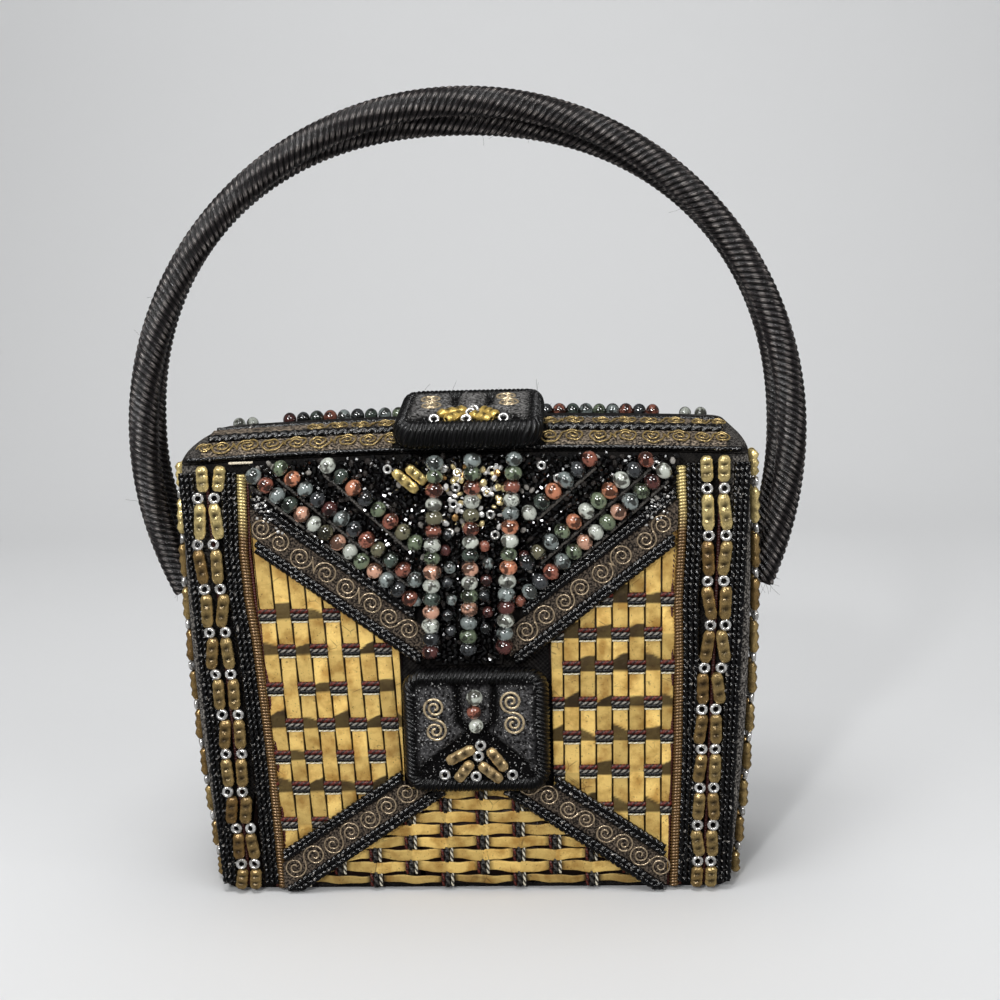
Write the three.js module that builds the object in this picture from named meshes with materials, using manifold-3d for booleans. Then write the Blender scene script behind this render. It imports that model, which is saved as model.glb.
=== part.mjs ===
// Small box evening bag that stands on its base: a hollow cloth-covered box with a domed lid, two stiff
// cord-wound handles, and a front of woven brass strips, scroll ribbons, braids and strung beads.
// Millimetres, +Z up, the front faces -Y. The origin is the middle of the base.
import * as THREE from 'three';
import { mergeVertices } from 'three/addons/utils/BufferGeometryUtils.js';
import Module from 'manifold-3d';

const wasm = await Module();
wasm.setup();

// Driving dimensions
const GAP = 0.3;
const BOX = {
  widest: 146.4, widestAt: 88, base: 134.8, depth: 54, height: 115, wall: 2.4, corner: 3, foot: 2, crown: 2,
  crownFrom: 90,
};
const LID = { rise: 6.7, bulge: 1.68, endRound: 8, wall: 2.4, rimAt: BOX.height + GAP };
const HANDLE = { thickness: 7.2, sides: 10, steps: 30, legSteps: 4, arcSteps: 16 };
const HANDLES = [
  {
    name: 'handle_front', half: 86.5, rise: 86.5, fullness: 2, centreX: -0.6, centreZ: 119.8,
    endX: 77.4, endZ: 79, endY: -9, topY: -3.2,
  },
  {
    name: 'handle_back', half: 87.6, rise: 84.1, fullness: 2.2, centreX: -2, centreZ: 118,
    endX: 77.4, endZ: 79, endY: 9, topY: 3.2,
  },
];
const BEAD = { diameter: 3.9, neck: 0.9, flat: 0.36, sides: 10 };
const TUBE_BEAD = { diameter: 3.2, sides: 6, steps: 5, low: 2.6, high: 112.4 };
const BRAID = { diameter: 2.6, sides: 6, low: 2.4, high: 113.2 };
const BULLION = { width: 2.2, thickness: 1.3, low: 1.2, high: 113 };
const PLATE = { thickness: 0.9, slit: 0.5 };
const FIELD = { low: 0.8, arch: 1.4 };
const RIBBON = { width: 6, thickness: 0.9 };
const EDGE_CORD = { diameter: 2.2, sides: 6 };
const PAD = { width: 38, height: 33, thickness: 6.6, corner: 5, binding: 4, round: 2, centreX: 2, centreZ: 45.2 };
const TAB = { length: 33, thickness: 7.2, tilt: 11, frontY: -33.5, undersideZ: 118.3 };

// Upright lines of the front: distance from the middle at the base, and what it gains per millimetre upwards
const ACROSS = {
  bullion: { foot: 52, spread: 0.038 },
  braidInner: { foot: 55, spread: 0.042 },
  tubeInner: { foot: 58.5, spread: 0.044 },
  tubeOuter: { foot: 62.15, spread: 0.05 },
  braidOuter: { foot: 65.4, spread: 0.05 },
};

// Scroll ribbons of the front: middle line from the outer end to the inner end, in x and z, and how much
// sooner the cord over it stops, to leave room for the hanging bead strings
const RIBBONS = [
  { name: 'upper_left', outerX: -60, outerZ: 104.7, innerX: -9, innerZ: 67.2, overStop: 8 },
  { name: 'upper_right', outerX: 60, outerZ: 104.9, innerX: 9.5, innerZ: 66.7, overStop: 9.4 },
  { name: 'lower_left', outerX: -58, outerZ: -0.2, innerX: -8, innerZ: 33.6, overStop: 0 },
  { name: 'lower_right', outerX: 60, outerZ: -0.9, innerX: 8, innerZ: 34.8, overStop: 0 },
];

// Bead strings: middles of the first and last beads in x and z, count, and height of the middle off the front
const STRINGS = [
  { name: 'bead_string_1', fromX: -6.4, fromZ: 115.2, toX: -9.3, toZ: 66.3, beads: 13, lift: 4.7 },
  { name: 'bead_string_2', fromX: 3, fromZ: 115.6, toX: 0.5, toZ: 66.7, beads: 13, lift: 3.6 },
  { name: 'bead_string_3', fromX: 13.4, fromZ: 115.8, toX: 9.8, toZ: 67.4, beads: 13, lift: 4.7 },
  { name: 'fan_string_left_1', fromX: -52.9, fromZ: 112.6, toX: -14, toZ: 80.2, beads: 14, lift: 3.5 },
  { name: 'fan_string_left_2', fromX: -45.8, fromZ: 114.4, toX: -12.6, toZ: 85.1, beads: 12, lift: 3.5 },
  { name: 'fan_string_left_3', fromX: -33.6, fromZ: 115, toX: -12.2, toZ: 94.6, beads: 8, lift: 3.5 },
  { name: 'fan_string_right_1', fromX: 50.9, fromZ: 111.8, toX: 16.5, toZ: 81.6, beads: 13, lift: 3.5 },
  { name: 'fan_string_right_2', fromX: 46.5, fromZ: 114.8, toX: 16.1, toZ: 89.2, beads: 11, lift: 3.5 },
  { name: 'fan_string_right_3', fromX: 32.5, fromZ: 115.3, toX: 17, toZ: 102, beads: 6, lift: 3.5 },
];

// Trim of the lid, as bands across it: depth of each edge or of the middle from the lid's centre line
const LID_TRIM = { ribbonFront: [-26.6, -21.2], braidAt: -19.3, ribbonRear: [-17.4, -11.6], reach: 67, steps: 4 };
const LID_BEADS = { depth: 22, from: 0.3, to: 51, diameter: 3.9, sides: 8, steps: 3 };

const paint = (color, roughness, metalness = 0) => new THREE.MeshStandardMaterial({ color, roughness, metalness });
const FINISH = {
  cloth: paint('#1d1a1b', 0.9),
  cord: paint('#15141a', 0.7),
  brass: paint('#c39a45', 0.4, 0.8),
  bullion: paint('#8a6136', 0.45, 0.7),
  ribbon: paint('#4a423c', 0.75, 0.1),
  suede: paint('#33343a', 0.95),
  stone: paint('#8c8f82', 0.25),
  tube: paint('#8d7447', 0.4, 0.7),
  seed: paint('#1a1719', 0.4),
};

const bag = new THREE.Group();
const front = new THREE.Group();
front.rotation.x = Math.PI / 2;
front.position.y = -BOX.depth / 2;
bag.add(front);

function piece(parent, name, geometry, material) {
  const mesh = new THREE.Mesh(geometry, material);
  mesh.name = name;
  parent.add(mesh);
  return mesh;
}

// Booleans
function toSolid(geometry) {
  const bare = geometry.clone();
  bare.deleteAttribute('normal');
  bare.deleteAttribute('uv');
  const merged = mergeVertices(bare, 1e-4);
  const vertProperties = new Float32Array(merged.attributes.position.array);
  const triVerts = new Uint32Array(merged.index.array);
  return new wasm.Manifold(new wasm.Mesh({ numProp: 3, vertProperties, triVerts }));
}

function toGeometry(solid) {
  const { vertProperties, triVerts } = solid.getMesh();
  const geometry = new THREE.BufferGeometry();
  geometry.setAttribute('position', new THREE.BufferAttribute(vertProperties, 3));
  geometry.setIndex(new THREE.BufferAttribute(triVerts, 1));
  geometry.computeVertexNormals();
  return geometry;
}

// A closed solid through rings of equally many points. Each ring is mirrored about its own middle, so its
// ends are closed by a strip between point i and point count - 1 - i.
function loft(rings) {
  const count = rings[0].length;
  const index = [];
  for (let r = 0; r + 1 < rings.length; r++) {
    for (let i = 0; i < count; i++) {
      const a = r * count + i;
      const b = r * count + (i + 1) % count;
      index.push(a, b, b + count, a, b + count, a + count);
    }
  }
  const last = (rings.length - 1) * count;
  for (let i = 0; i + 1 < count / 2; i++) {
    const j = count - 1 - i;
    index.push(i, j, j - 1, i, j - 1, i + 1);
    index.push(last + i, last + j - 1, last + j, last + i, last + i + 1, last + j - 1);
  }
  const geometry = new THREE.BufferGeometry().setFromPoints(rings.flat());
  geometry.setIndex(index);
  geometry.computeVertexNormals();
  return geometry;
}

// The box's outline narrows towards the base on a parabola, and its rim and lid rise in the middle.
function halfWidth(z) {
  const narrowing = (BOX.widest - BOX.base) / 2;
  return BOX.widest / 2 - narrowing * ((z - BOX.widestAt) / BOX.widestAt) ** 2;
}

function crownAt(x) {
  return BOX.crown * (1 - (2 * x / BOX.widest) ** 2);
}

// A rounded rectangle as a ring of points, from +X through +Y, with the long sides in short steps.
function ring(halfX, halfY, corner, height) {
  const cornerSteps = 2;
  const sideSteps = 6;
  const radius = Math.min(corner, halfY * 0.98);
  const points = [];
  for (const [sx, sy, start] of [[1, 1, 0], [-1, 1, 1], [-1, -1, 2], [1, -1, 3]]) {
    for (let i = 0; i <= cornerSteps; i++) {
      const angle = (start + i / cornerSteps) * Math.PI / 2;
      points.push([
        sx * (halfX - radius) + radius * Math.cos(angle), sy * (halfY - radius) + radius * Math.sin(angle),
      ]);
    }
    if (start % 2 === 0) {
      for (let i = 1; i < sideSteps; i++) {
        points.push([sx * (halfX - radius) * (1 - 2 * i / sideSteps), sy * halfY]);
      }
    }
  }
  return points.map(([x, y]) => new THREE.Vector3(x, y, height(x)));
}

// Box: one cup, from the foot up the outside, over the rim and down the inside
function boxShell() {
  const raised = (z) => {
    const share = Math.max(0, (z - BOX.crownFrom) / (BOX.height - BOX.crownFrom));
    return (x) => z + share * crownAt(x);
  };
  const level = (z, inset, corner) => ring(halfWidth(z) - inset, BOX.depth / 2 - inset, corner, raised(z));
  const footRows = [{ z: 0, inset: 1.4 }, { z: 0.6, inset: 0.5 }, { z: BOX.foot, inset: 0 }];
  const heights = [22, 44, 67, BOX.crownFrom, BOX.height];
  const outside = [
    ...footRows.map(({ z, inset }) => level(z, inset, BOX.corner)),
    ...heights.map((z) => level(z, 0, BOX.corner)),
  ];
  const insideHeights = [BOX.height, BOX.crownFrom, 45, BOX.wall];
  const inside = insideHeights.map((z) => level(z, BOX.wall, BOX.corner - BOX.wall + 1));
  return loft([...outside, ...inside]);
}
piece(bag, 'body_shell', boxShell(), FINISH.cloth);

// Lid: a vault along X with rounded ends, drawn as rings that shrink from the rim to the crest
const lidHalfX = halfWidth(BOX.height);
const lidHalfY = BOX.depth / 2;

function vault(share) {
  return (1 - Math.abs(share) ** LID.bulge) ** (1 / LID.bulge);
}

function lidRings(grow) {
  const shares = [1, 0.97, 0.9, 0.77, 0.57, 0.32, 0.07];
  return shares.map((share) => {
    const height = vault(share);
    const inset = LID.endRound * (1 - Math.sqrt(1 - height ** 2));
    const level = LID.rimAt + (LID.rise + grow) * height;
    return ring(lidHalfX + grow - inset, (lidHalfY + grow) * share, BOX.corner, (x) => level + crownAt(x));
  });
}

function lidShell() {
  return loft([...lidRings(-LID.wall).reverse(), ...lidRings(0)]);
}

// A point on the lid's outside, lifted off it along its normal
function onLid(x, y, lift) {
  const step = 0.05;
  const heightAt = (depth) => LID.rise * vault(Math.min(1, Math.abs(depth) / lidHalfY));
  const slope = (heightAt(y + step) - heightAt(y - step)) / (2 * step);
  const normal = new THREE.Vector3(0, -slope, 1).normalize();
  return new THREE.Vector3(x, y, LID.rimAt + crownAt(x) + heightAt(y)).addScaledVector(normal, lift);
}

// A band lying on the lid: a flat section of six points carried along X
function lidBand(fromX, toX, [fromY, toY]) {
  const [bottom, top] = [GAP, GAP + RIBBON.thickness];
  const middle = (fromY + toY) / 2;
  const sections = [];
  for (let i = 0; i <= LID_TRIM.steps; i++) {
    const x = fromX + (toX - fromX) * i / LID_TRIM.steps;
    sections.push([
      onLid(x, toY, top), onLid(x, middle, top), onLid(x, fromY, top),
      onLid(x, fromY, bottom), onLid(x, middle, bottom), onLid(x, toY, bottom),
    ]);
  }
  return loft(sections);
}

function polygon(radius, sides) {
  const shape = new THREE.Shape();
  for (let i = 0; i < sides; i++) {
    const angle = 2 * Math.PI * (i + 0.5) / sides;
    shape[i ? 'lineTo' : 'moveTo'](radius * Math.cos(angle), radius * Math.sin(angle));
  }
  shape.closePath();
  return shape;
}

function tube(points, diameter, sides, steps) {
  const extrudePath = new THREE.CatmullRomCurve3(points);
  return new THREE.ExtrudeGeometry(polygon(diameter / 2, sides), { steps, extrudePath, bevelEnabled: false });
}

// Tab and front pad: a round-edged ring of wound cord about a flat suede panel
function roundedRectangle(path, width, height, radius) {
  const [x, y] = [width / 2, height / 2];
  path.moveTo(x - radius, -y);
  path.absarc(x - radius, radius - y, radius, -Math.PI / 2, 0);
  path.absarc(x - radius, y - radius, radius, 0, Math.PI / 2);
  path.absarc(radius - x, y - radius, radius, Math.PI / 2, Math.PI);
  path.absarc(radius - x, radius - y, radius, Math.PI, 1.5 * Math.PI);
  path.closePath();
  return path;
}

function binding(width, height, thickness) {
  const shape = roundedRectangle(new THREE.Shape(), width, height, PAD.corner);
  const inner = PAD.corner - PAD.binding + 1;
  shape.holes.push(roundedRectangle(new THREE.Path(), width - 2 * PAD.binding, height - 2 * PAD.binding, inner));
  return new THREE.ExtrudeGeometry(shape, {
    depth: thickness - 2 * PAD.round, curveSegments: 3, bevelSegments: 1,
    bevelThickness: PAD.round, bevelSize: PAD.round * 0.8, bevelOffset: -PAD.round * 0.8,
  }).translate(0, 0, PAD.round);
}

function panel(width, height, thickness) {
  const inset = 2 * (PAD.binding + GAP);
  const shape = roundedRectangle(new THREE.Shape(), width - inset, height - inset, 2);
  const sunk = 0.8;
  return new THREE.ExtrudeGeometry(shape, {
    depth: thickness - sunk, curveSegments: 3, bevelEnabled: false,
  });
}

function block(width, height, thickness, grow) {
  return new THREE.BoxGeometry(width + 2 * grow, height + 2 * grow, thickness + 2 * grow)
    .translate(0, 0, thickness / 2);
}

const tabFrame = new THREE.Object3D();
const tabTilt = THREE.MathUtils.degToRad(TAB.tilt);
tabFrame.rotation.x = tabTilt;
tabFrame.position.set(
  PAD.centreX, TAB.frontY + TAB.length / 2 * Math.cos(tabTilt), TAB.undersideZ + TAB.length / 2 * Math.sin(tabTilt),
);
tabFrame.updateMatrix();
const lidOutside = toSolid(loft(lidRings(GAP)));
const seated = (geometry) => toGeometry(toSolid(geometry.applyMatrix4(tabFrame.matrix)).subtract(lidOutside));

piece(bag, 'lid_shell', lidShell(), FINISH.cloth);
piece(bag, 'tab_binding', seated(binding(PAD.width, TAB.length, TAB.thickness)), FINISH.cord);
piece(bag, 'tab_panel', seated(panel(PAD.width, TAB.length, TAB.thickness)), FINISH.suede);

// Front pad, and the field of the front that its neighbours are cut to
const padPlace = new THREE.Matrix4().makeTranslation(PAD.centreX, PAD.centreZ, GAP);
piece(front, 'front_pad_binding', binding(PAD.width, PAD.height, PAD.thickness).applyMatrix4(padPlace), FINISH.cord);
piece(front, 'front_pad_panel', panel(PAD.width, PAD.height, PAD.thickness).applyMatrix4(padPlace), FINISH.suede);
const padBlock = toSolid(block(PAD.width, PAD.height, PAD.thickness, GAP).applyMatrix4(padPlace));

function lineX(line, z) {
  return line.foot + line.spread * z;
}

function fieldShape() {
  const steps = 8;
  const rim = BOX.height - 1;
  const reach = (z) => lineX(ACROSS.bullion, z) - BULLION.width / 2 - GAP;
  const edge = (z, rise) => Array.from({ length: steps + 1 }, (_, i) => {
    const x = reach(z) * (2 * i / steps - 1);
    return new THREE.Vector2(x, z + rise(x));
  });
  const archBelow = (x) => FIELD.arch * (1 - (x / reach(FIELD.low)) ** 2);
  return new THREE.Shape([...edge(FIELD.low, archBelow), ...edge(rim, crownAt).reverse()]);
}

const fieldDepth = 12;
const field = toSolid(new THREE.ExtrudeGeometry(fieldShape(), { depth: fieldDepth, bevelEnabled: false }));
const onField = (geometry) => toGeometry(toSolid(geometry).intersect(field).subtract(padBlock));

function plate(corners) {
  const shape = new THREE.Shape(corners.map(([x, z]) => new THREE.Vector2(x, z)));
  return new THREE.ExtrudeGeometry(shape, { depth: PLATE.thickness, bevelEnabled: false }).translate(0, 0, GAP);
}

// Four fields between the ribbons: strung beads above, brass weave at the sides and below
const [upperLeft, upperRight, lowerLeft, lowerRight] = RIBBONS;
const outer = (ribbon, rise) => [ribbon.outerX, ribbon.outerZ + rise];
const inner = (ribbon, rise) => [ribbon.innerX, ribbon.innerZ + rise];
const { slit } = PLATE;
const beyond = BOX.height + 2 * BOX.crown;
const under = -BOX.foot;
piece(front, 'bead_ground', onField(plate([
  outer(upperLeft, slit), inner(upperLeft, slit), [upperLeft.innerX + 5 * slit, PAD.centreZ],
  [upperRight.innerX - 5 * slit, PAD.centreZ], inner(upperRight, slit), outer(upperRight, slit),
  [upperRight.outerX, beyond], [upperLeft.outerX, beyond],
])), FINISH.seed);
piece(front, 'weave_left', onField(plate([
  outer(upperLeft, -slit), outer(lowerLeft, slit), inner(lowerLeft, slit), inner(upperLeft, -slit),
])), FINISH.brass);
piece(front, 'weave_right', onField(plate([
  outer(upperRight, -slit), inner(upperRight, -slit), inner(lowerRight, slit), outer(lowerRight, slit),
])), FINISH.brass);
piece(front, 'weave_bottom', onField(plate([
  outer(lowerLeft, -slit), [lowerLeft.outerX, under], [lowerRight.outerX, under], outer(lowerRight, -slit),
  inner(lowerRight, -slit), inner(lowerLeft, -slit),
])), FINISH.brass);

// Scroll ribbons over the joins, each between two cords
for (const { name, outerX, outerZ, innerX, innerZ, overStop } of RIBBONS) {
  const run = new THREE.Vector2(innerX - outerX, innerZ - outerZ);
  const lie = new THREE.Matrix4()
    .makeTranslation(outerX, outerZ, 2 * GAP + PLATE.thickness)
    .multiply(new THREE.Matrix4().makeRotationZ(run.angle()));
  const band = new THREE.BoxGeometry(run.length(), RIBBON.width, RIBBON.thickness)
    .translate(run.length() / 2, 0, RIBBON.thickness / 2);
  piece(front, `ribbon_${name}`, onField(band.applyMatrix4(lie)), FINISH.ribbon);
  for (const [edge, rise, stop] of [['over', 1, overStop], ['under', -1, 0]]) {
    const radius = EDGE_CORD.diameter / 2;
    const aside = rise * Math.sign(run.x) * (RIBBON.width / 2 + GAP + radius);
    const length = run.length() - stop;
    const cord = new THREE.CylinderGeometry(radius, radius, length, EDGE_CORD.sides)
      .rotateZ(Math.PI / 2).translate(length / 2, aside, radius);
    piece(front, `cord_${name}_${edge}`, onField(cord.applyMatrix4(lie)), FINISH.cord);
  }
}

// Upright trims at the sides of the front: bullion, braids and two strings of tube beads
function upright(line, trim, side) {
  const at = (z) => new THREE.Vector3(side * lineX(line, z), z, GAP + trim.diameter / 2);
  const extrudePath = new THREE.LineCurve3(at(trim.low), at(trim.high));
  const section = polygon(trim.diameter / 2, trim.sides);
  return new THREE.ExtrudeGeometry(section, { steps: 1, extrudePath, bevelEnabled: false });
}

function gimp(side) {
  const corners = [[-1, 'low'], [1, 'low'], [1, 'high'], [-1, 'high']].map(([edge, end]) => {
    const z = BULLION[end];
    return new THREE.Vector2(side * lineX(ACROSS.bullion, z) + edge * BULLION.width / 2, z);
  });
  const depth = { depth: BULLION.thickness, bevelEnabled: false };
  return new THREE.ExtrudeGeometry(new THREE.Shape(corners), depth).translate(0, 0, GAP);
}

for (const [word, side] of [['left', -1], ['right', 1]]) {
  piece(front, `bullion_${word}`, gimp(side), FINISH.bullion);
  piece(front, `braid_${word}_inner`, upright(ACROSS.braidInner, BRAID, side), FINISH.cord);
  piece(front, `braid_${word}_outer`, upright(ACROSS.braidOuter, BRAID, side), FINISH.cord);
  piece(front, `tube_string_${word}_1`, upright(ACROSS.tubeInner, TUBE_BEAD, side), FINISH.tube);
  piece(front, `tube_string_${word}_2`, upright(ACROSS.tubeOuter, TUBE_BEAD, side), FINISH.tube);
}

// Tube bead strings down the side panels, a pair by each edge
const SIDE_STRINGS = [{ index: 1, y: -19.2 }, { index: 2, y: -14.6 }, { index: 3, y: 14.6 }, { index: 4, y: 19.2 }];
for (const [word, side] of [['left', -1], ['right', 1]]) {
  for (const { index, y } of SIDE_STRINGS) {
    const points = [0, 1, 2, 3, 4].map((i) => {
      const z = TUBE_BEAD.low + (TUBE_BEAD.high - TUBE_BEAD.low) * i / 4;
      return new THREE.Vector3(side * (halfWidth(z) + GAP + TUBE_BEAD.diameter / 2), y, z);
    });
    const geometry = tube(points, TUBE_BEAD.diameter, TUBE_BEAD.sides, TUBE_BEAD.steps);
    piece(bag, `side_string_${word}_${index}`, geometry, FINISH.tube);
  }
}

// A string of round beads, turned about its thread: each bead meets the next at a narrow neck
function beadString(length, beads) {
  const pitch = length / (beads - 1);
  const radius = BEAD.diameter / 2;
  const profile = [new THREE.Vector2(0, -pitch / 2)];
  for (let i = 0; i < beads; i++) {
    for (const [along, across] of [[-0.5, BEAD.neck], [-BEAD.flat / 2, radius], [BEAD.flat / 2, radius]]) {
      profile.push(new THREE.Vector2(across, (i + along) * pitch));
    }
  }
  profile.push(new THREE.Vector2(BEAD.neck, length + pitch / 2), new THREE.Vector2(0, length + pitch / 2));
  return new THREE.LatheGeometry(profile, BEAD.sides);
}

function strung(parent, name, from, to, beads) {
  const run = to.clone().sub(from);
  const mesh = piece(parent, name, beadString(run.length(), beads), FINISH.stone);
  mesh.position.copy(from);
  mesh.quaternion.setFromUnitVectors(new THREE.Vector3(0, 1, 0), run.normalize());
}

for (const { name, fromX, fromZ, toX, toZ, beads, lift } of STRINGS) {
  strung(front, name, new THREE.Vector3(fromX, fromZ, lift), new THREE.Vector3(toX, toZ, lift), beads);
}

// Lid trim: two scroll ribbons with a braid between them, stopping at the tab, and beads on the rear slope
for (const [word, side] of [['left', -1], ['right', 1]]) {
  const byTab = PAD.centreX + side * (PAD.width / 2 + 2 * GAP);
  const [fromX, toX] = [byTab, side * LID_TRIM.reach].sort((a, b) => a - b);
  const along = [0, 1, 2, 3].map((i) => fromX + (toX - fromX) * i / 3);
  const braid = along.map((x) => onLid(x, LID_TRIM.braidAt, GAP + BRAID.diameter / 2));
  piece(bag, `lid_ribbon_front_${word}`, lidBand(fromX, toX, LID_TRIM.ribbonFront), FINISH.ribbon);
  piece(bag, `lid_ribbon_rear_${word}`, lidBand(fromX, toX, LID_TRIM.ribbonRear), FINISH.ribbon);
  piece(bag, `lid_braid_${word}`, tube(braid, BRAID.diameter, BRAID.sides, LID_TRIM.steps), FINISH.cord);
  const { depth, from, to, diameter, sides, steps } = LID_BEADS;
  const row = [0, 1, 2, 3].map((i) => onLid(side * (from + (to - from) * i / 3), depth, GAP + diameter / 2));
  piece(bag, `lid_bead_row_${word}`, tube(row, diameter, sides, steps), FINISH.stone);
}

// Handles: an arch on legs that bend in to the side panels, leaning together at the top
function handlePath({ half, rise, fullness, centreX, centreZ, endX, endZ, endY, topY }) {
  const lean = (z) => {
    const share = (z - endZ) / (centreZ + rise - endZ);
    return endY + (topY - endY) * share ** 2;
  };
  const full = (value) => Math.sign(value) * Math.abs(value) ** (2 / fullness);
  const leg = (side) => Array.from({ length: HANDLE.legSteps }, (_, i) => {
    const share = i / HANDLE.legSteps;
    const top = centreX + side * half;
    return [top - (top - side * endX) * (1 - share) ** 2, endZ + (centreZ - endZ) * share];
  });
  const arch = [];
  for (let i = 0; i <= HANDLE.arcSteps; i++) {
    const angle = Math.PI * i / HANDLE.arcSteps;
    arch.push([centreX + half * full(Math.cos(angle)), centreZ + rise * full(Math.sin(angle))]);
  }
  const path = [...leg(1), ...arch, ...leg(-1).reverse()];
  return path.map(([x, z]) => new THREE.Vector3(x, lean(z), z));
}

for (const handle of HANDLES) {
  piece(bag, handle.name, tube(handlePath(handle), HANDLE.thickness, HANDLE.sides, HANDLE.steps), FINISH.cord);
}

export default bag;
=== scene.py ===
import bmesh
import bpy
import numpy as np
from mathutils import Matrix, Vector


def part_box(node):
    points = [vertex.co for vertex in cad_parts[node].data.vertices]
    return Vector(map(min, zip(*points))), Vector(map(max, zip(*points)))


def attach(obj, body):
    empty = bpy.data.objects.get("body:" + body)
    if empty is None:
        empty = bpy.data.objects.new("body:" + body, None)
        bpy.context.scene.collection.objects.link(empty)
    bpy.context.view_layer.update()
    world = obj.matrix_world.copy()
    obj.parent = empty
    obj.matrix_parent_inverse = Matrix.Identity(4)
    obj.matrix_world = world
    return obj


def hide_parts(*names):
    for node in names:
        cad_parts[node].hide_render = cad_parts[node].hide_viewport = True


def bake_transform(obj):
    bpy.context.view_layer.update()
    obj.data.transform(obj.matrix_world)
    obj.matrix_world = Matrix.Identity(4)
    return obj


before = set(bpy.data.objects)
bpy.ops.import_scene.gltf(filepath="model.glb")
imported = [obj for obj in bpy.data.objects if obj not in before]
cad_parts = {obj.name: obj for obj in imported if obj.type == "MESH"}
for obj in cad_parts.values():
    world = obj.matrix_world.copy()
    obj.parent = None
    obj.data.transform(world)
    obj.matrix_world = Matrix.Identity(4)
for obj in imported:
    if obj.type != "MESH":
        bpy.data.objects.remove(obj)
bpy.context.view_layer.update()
rng = np.random.default_rng(7)
scene = bpy.context.scene

# Studio: the bag stands on a pale paper sweep that curves up behind it, under soft light from above the
# front, with a weaker light from each side and from behind, and two small lamps that only show as glints in
# gloss. The camera looks a little down, as in the photograph.
CAMERA = {"turns": (9, -3.01, -1.59), "place": (0.028, -0.3787, 0.1605), "lens": 50.4, "sensor": 36}
PAPER = {
    "half_wide": 2.0, "near": -1.5, "flat_to": 0.5, "bend": 0.4, "top": 1.8, "tone": (0.69, 0.695, 0.70, 1),
}
LAMPS = [
    # name, place, aim, size, watts, whether it lights surfaces, whether it shows in gloss
    ("lamp_above", (-0.10, -0.30, 0.95), (0, 0, 0.05), 0.35, 3.6, True, True),
    ("lamp_front", (-0.16, -0.62, 0.42), (0, 0, 0.08), 0.06, 1.7, True, True),
    ("lamp_left", (-0.80, -0.60, 0.35), (0, 0, 0.10), 0.7, 2.6, True, False),
    ("lamp_right", (0.80, -0.60, 0.35), (0, 0, 0.10), 0.7, 4.3, True, False),
    ("lamp_wall", (0, 0.15, 1.25), (0, 0.9, 0.45), 0.8, 5.5, True, False),
    ("lamp_behind", (0, 0.55, 0.95), (0, 0, 0.06), 0.6, 0.9, True, False),
    ("lamp_glint_left", (-0.34, -0.50, 0.50), (0, 0, 0.08), 0.12, 2.5, False, True),
    ("lamp_glint_right", (0.36, -0.46, 0.58), (0, 0, 0.08), 0.12, 2.5, False, True),
]


def stood(piece, axes, place):
    """Puts an object in the scene with its own three axes and its place."""
    stand = np.eye(4)
    stand[:3, :3] = np.stack(axes, -1)
    stand[:3, 3] = place
    piece.matrix_world = Matrix(stand.tolist())
    scene.collection.objects.link(piece)


pitch, yaw, roll = np.radians(CAMERA["turns"])
ahead = np.array([np.sin(yaw) * np.cos(pitch), np.cos(yaw) * np.cos(pitch), -np.sin(pitch)])
level = np.array([np.cos(yaw), -np.sin(yaw), 0])
above = np.cross(level, ahead)
right = level * np.cos(roll) + above * np.sin(roll)
camera = bpy.data.objects.new("camera", bpy.data.cameras.new("camera"))
camera.data.lens, camera.data.sensor_width, camera.data.clip_start = CAMERA["lens"], CAMERA["sensor"], 0.01
stood(camera, [right, above * np.cos(roll) - level * np.sin(roll), -ahead], CAMERA["place"])
scene.camera = camera
scene.view_settings.view_transform = "Standard"

turn = np.linspace(0, np.pi / 2, 17)
wall = PAPER["flat_to"] + PAPER["bend"]
depth = np.concatenate([[PAPER["near"]], PAPER["flat_to"] + PAPER["bend"] * np.sin(turn), [wall]])
rise = np.concatenate([[0], PAPER["bend"] * (1 - np.cos(turn)), [PAPER["top"]]])
edge = np.stack([np.full(19, -PAPER["half_wide"]), depth, rise], -1)
rows = np.arange(18)
paper = bpy.data.meshes.new("paper_sweep")
paper.from_pydata(
    np.concatenate([edge, edge * [-1, 1, 1]]), [],
    np.stack([rows, rows + 19, rows + 20, rows + 1], -1).tolist(),
)
paper.polygons.foreach_set("use_smooth", np.ones(18, bool))
paper.materials.append(bpy.data.materials.new("paper"))
paper.materials[0].use_nodes = True
shader = paper.materials[0].node_tree.nodes["Principled BSDF"].inputs
shader["Base Color"].default_value = PAPER["tone"]
shader["Roughness"].default_value = 0.9
floor = bpy.data.objects.new("paper_sweep", paper)
scene.collection.objects.link(floor)
floor.visible_glossy = False

for name, place, aim, size, watts, on_surfaces, in_gloss in LAMPS:
    lamp = bpy.data.objects.new(name, bpy.data.lights.new(name, "AREA"))
    lamp.data.size, lamp.data.energy = size, watts
    lamp.visible_diffuse, lamp.visible_glossy = on_surfaces, in_gloss
    way = np.subtract(place, aim) / np.linalg.norm(np.subtract(place, aim))
    across = np.cross([0, 0, 1], way) / np.linalg.norm(np.cross([0, 0, 1], way))
    stood(lamp, [across, np.cross(way, across), way], place)
world = bpy.data.worlds.new("room")
world.use_nodes = True
glow = world.node_tree.nodes["Background"].inputs
glow["Color"].default_value = (0.97, 0.985, 1.0, 1)
glow["Strength"].default_value = 0.12
scene.world = world


# Box cover: black cloth glued over a stiff card box, turned in over the rim and lining the inside. The box
# narrows towards its base on a parabola, and its rim rises in the middle.
BOX = {
    "widest": 146.4, "widest_at": 88.0, "base": 134.8, "depth": 54.0, "height": 115.0, "wall": 2.4,
    "crown": 2.0, "crown_from": 90.0, "corner": 3.0, "corner_inside": 1.6,
}
# Height and inset of the rounded edge round the base
FOOT = np.array([[0, 1.4], [0.25, 0.9], [0.6, 0.5], [1.2, 0.15], [2, 0]])


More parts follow.
